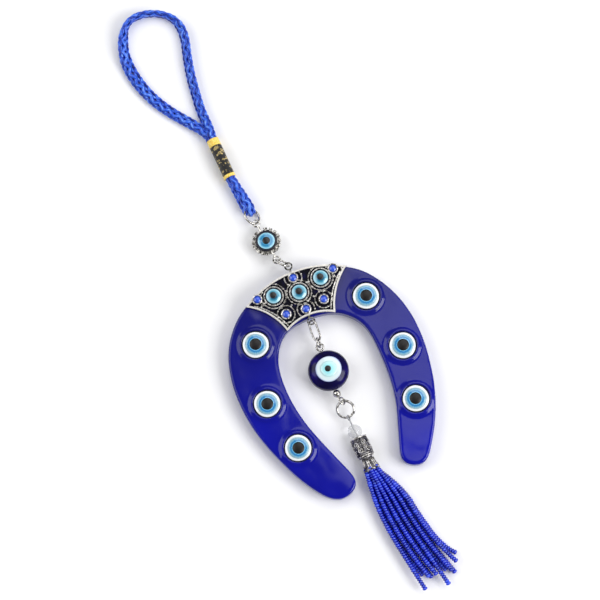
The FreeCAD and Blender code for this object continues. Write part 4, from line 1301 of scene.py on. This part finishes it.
class OrnamentTasselHead(Maker):
    """The tassel's thread, clear bead, scrolled barrel, filigree bell and plug"""
    bl_idname = "ornament.tassel_head"
    bl_label = "Tassel head"

    SPIRALS, PETALS = 6, 7
    NECK = 2.1                   # radius of the bell's neck
    PETAL_START = 1.0            # along the bell, from its neck

    def make(self):
        refinish(wound_thread("Grey beading thread", "#6E6F74", "#B9BBC0"), "tassel_thread")
        refinish(clear_glass(), "clear_bead")
        refinish(glossy("Blue resin plug", "#0A10A0", 0.3), "tassel_plug")
        refinish(silver_plate("Oxidised silver ground", "#77757A", "#1C1B1E", roughness=0.36),
                 "tassel_barrel", "tassel_bell")
        bright = silver_plate("Polished relief silver", "#EAE8E5", "#9A958E", roughness=0.3)
        barrel, bell = middle("tassel_barrel"), middle("tassel_bell")
        axis = (bell - barrel).normalized()
        put(self.relief(barrel, axis), "tassel_head", "antique_silver", bright)
        put(self.petals(bell, axis), "tassel_head", "antique_silver", bright)

    def relief(self, barrel, axis):
        """The barrel's end rings, its two rows of spirals and the grains between them."""
        size = spread("tassel_barrel")
        body, half = size.x / 2 - 0.1 * MM, size.y / 2
        made = Shape()
        for way in (-1, 1):
            for inset, radius in ((0.45, 0.3), (1.15, 0.16)):
                ring = [on_axis(barrel, axis, way * (half - inset * MM), body - 0.16 * MM, math.tau * k / 48)
                        for k in range(48)]
                made.tube(ring, radius * MM, 8, closed=True)
        for k in range(self.SPIRALS):
            turn = math.tau * k / self.SPIRALS
            for way in (-1, 1):
                made.tube(spiral(way * 1.25 * MM, turn + way * 0.18, way * 1.2, barrel, axis,
                                 body + 0.02 * MM), 0.18 * MM, 6)
                for reach, aside, radius in ((0.75, -0.42, 0.22), (2.3, 0.5, 0.2)):
                    made.ball(on_axis(barrel, axis, way * reach * MM, body - 0.04 * MM, turn + way * aside),
                              radius * MM, 8)
        underside = barrel.z - size.z / 2
        for place in made.points:
            place.z = max(place.z, underside)
        return made.piece("barrel_relief")

    def petals(self, bell, axis):
        """The bell's petals of wire, each ending in a grain at the mouth, and its neck ring."""
        size = spread("tassel_bell")
        low, high = bell - axis * (size.y / 2), bell + axis * (size.y / 2)
        long = (high - low).length
        neck, mouth = self.NECK * MM, size.x / 2 - 0.3 * MM
        made = Shape()
        for k in range(self.PETALS):
            mid = math.tau * k / self.PETALS
            line = []
            for part in (i / 16 for i in range(17)):
                reach = self.PETAL_START * MM + (long - 1.15 * MM) * math.sin(math.pi * part) ** 0.7
                down = (reach - self.PETAL_START * MM) / (long - self.PETAL_START * MM)
                radius = neck + (mouth - neck) * max(0.0, down)
                wide = math.cos(math.pi * part) * 0.92
                swing = math.pi / self.PETALS * wide * (0.7 + 0.3 * math.sin(math.pi * part))
                line.append(on_axis(low, axis, reach, radius + 0.02 * MM, mid + swing))
            made.tube(line, 0.27 * MM, 7)
            made.ball(on_axis(low, axis, long - 0.35 * MM, mouth, mid), 0.36 * MM, 8)
        ring = [on_axis(low, axis, 0.3 * MM, neck, math.tau * k / 36) for k in range(36)]
        made.tube(ring, 0.26 * MM, 8, closed=True)
        return made.piece("bell_petals")


# ---------------------------------------------------------------- stage

FRAME_MM = 230.0                 # width of the view at the ornament
LEAN = math.radians(11.0)        # of the camera, from straight above
CAMERA_FAR = 0.85
# (name, place across and ahead and up, size, watts, whether it is aimed at the ornament), in metres
SOFTBOXES = [
    ("softbox_over", (0.41, 0.835, 1.1), 1.24, 8.3, False),
    ("softbox_left", (-0.9, 0.15, 0.8), 1.0, 7.0, True),
    ("softbox_low", (0.95, -0.3, 0.75), 0.8, 12.0, True),
]


class OrnamentStage(Maker):
    """The pale table, the soft lights and the camera"""
    bl_idname = "ornament.stage"
    bl_label = "Stage and camera"

    def make(self):
        across = Vector((math.cos(TURN), -math.sin(TURN), 0))
        ahead = Vector((math.sin(TURN), math.cos(TURN), 0))
        sheet = bpy.data.meshes.new("table")
        work = bmesh.new()
        bmesh.ops.create_grid(work, x_segments=1, y_segments=1, size=3.0)
        work.to_mesh(sheet)
        work.free()
        sheet.materials.append(plain("White sweep paper", sizes("colours").floor, Roughness=0.85))
        table = on_scene("table", sheet)
        table.location.z = CAD_BOX[0][2] - 0.05 * MM
        for name, place, size, watts, aimed in SOFTBOXES:
            lamp = bpy.data.lights.new(name, "AREA")
            lamp.energy, lamp.size = watts, size
            holder = on_scene(name, lamp)
            holder.location = across * place[0] + ahead * place[1] + UP * place[2]
            if aimed:
                holder.rotation_euler = (-holder.location).to_track_quat("-Z", "Y").to_euler()
        world = bpy.data.worlds.new("Studio")
        world.use_nodes = True
        feed(world.node_tree, world.node_tree.nodes["Background"],
             {"Color": linear("#FFFFFF"), "Strength": 0.24})
        bpy.context.scene.world = world
        bpy.context.scene.view_settings.view_transform = "Standard"
        camera = bpy.data.cameras.new("Camera")
        camera.sensor_width = 36.0
        camera.lens = camera.sensor_width * CAMERA_FAR / (FRAME_MM * MM)
        eye = on_scene("Camera", camera)
        look = (-UP * math.cos(LEAN) + ahead * math.sin(LEAN)).normalized()
        top = (ahead * math.cos(LEAN) + UP * math.sin(LEAN)).normalized()
        aim = (UP * 6.0 - ahead * 2.8 + across * 0.3) * MM
        eye.matrix_world = Matrix.Translation(aim - look * CAMERA_FAR) @ Matrix(
            (look.cross(top), top, -look)).transposed().to_4x4()
        bpy.context.scene.camera = eye


MAKERS = [OrnamentGlass, OrnamentLegEyes, OrnamentCord, OrnamentSleeve, OrnamentStrands,
          OrnamentFindings, OrnamentCrown, OrnamentConnector, OrnamentEyeBead, OrnamentTasselHead,
          OrnamentStage]


class OrnamentPanel(bpy.types.Panel):
    """Lists the ornament's sizes, colours and pieces"""
    bl_idname = "VIEW3D_PT_ornament"
    bl_label = "Evil Eye Ornament"
    bl_space_type = "VIEW_3D"
    bl_region_type = "UI"
    bl_category = "Ornament"

    def draw(self, context):
        for name, group in GROUPS.items():
            box = self.layout.box()
            for key in group.__annotations__:
                box.prop(getattr(context.scene, name), key)
        for maker in MAKERS:
            self.layout.operator(maker.bl_idname)


def register():
    for group in GROUPS.values():
        bpy.utils.register_class(group)
    for maker in MAKERS:
        bpy.utils.register_class(maker)
    bpy.utils.register_class(OrnamentPanel)
    for name, group in GROUPS.items():
        setattr(bpy.types.Scene, name, bpy.props.PointerProperty(type=group))


def unregister():
    for name in GROUPS:
        delattr(bpy.types.Scene, name)
    bpy.utils.unregister_class(OrnamentPanel)
    for maker in reversed(MAKERS):
        bpy.utils.unregister_class(maker)
    for group in reversed(list(GROUPS.values())):
        bpy.utils.unregister_class(group)


def main():
    register()
    for maker in MAKERS:
        group, name = maker.bl_idname.split(".")
        getattr(getattr(bpy.ops, group), name)()


if __name__ == "__main__":
    main()
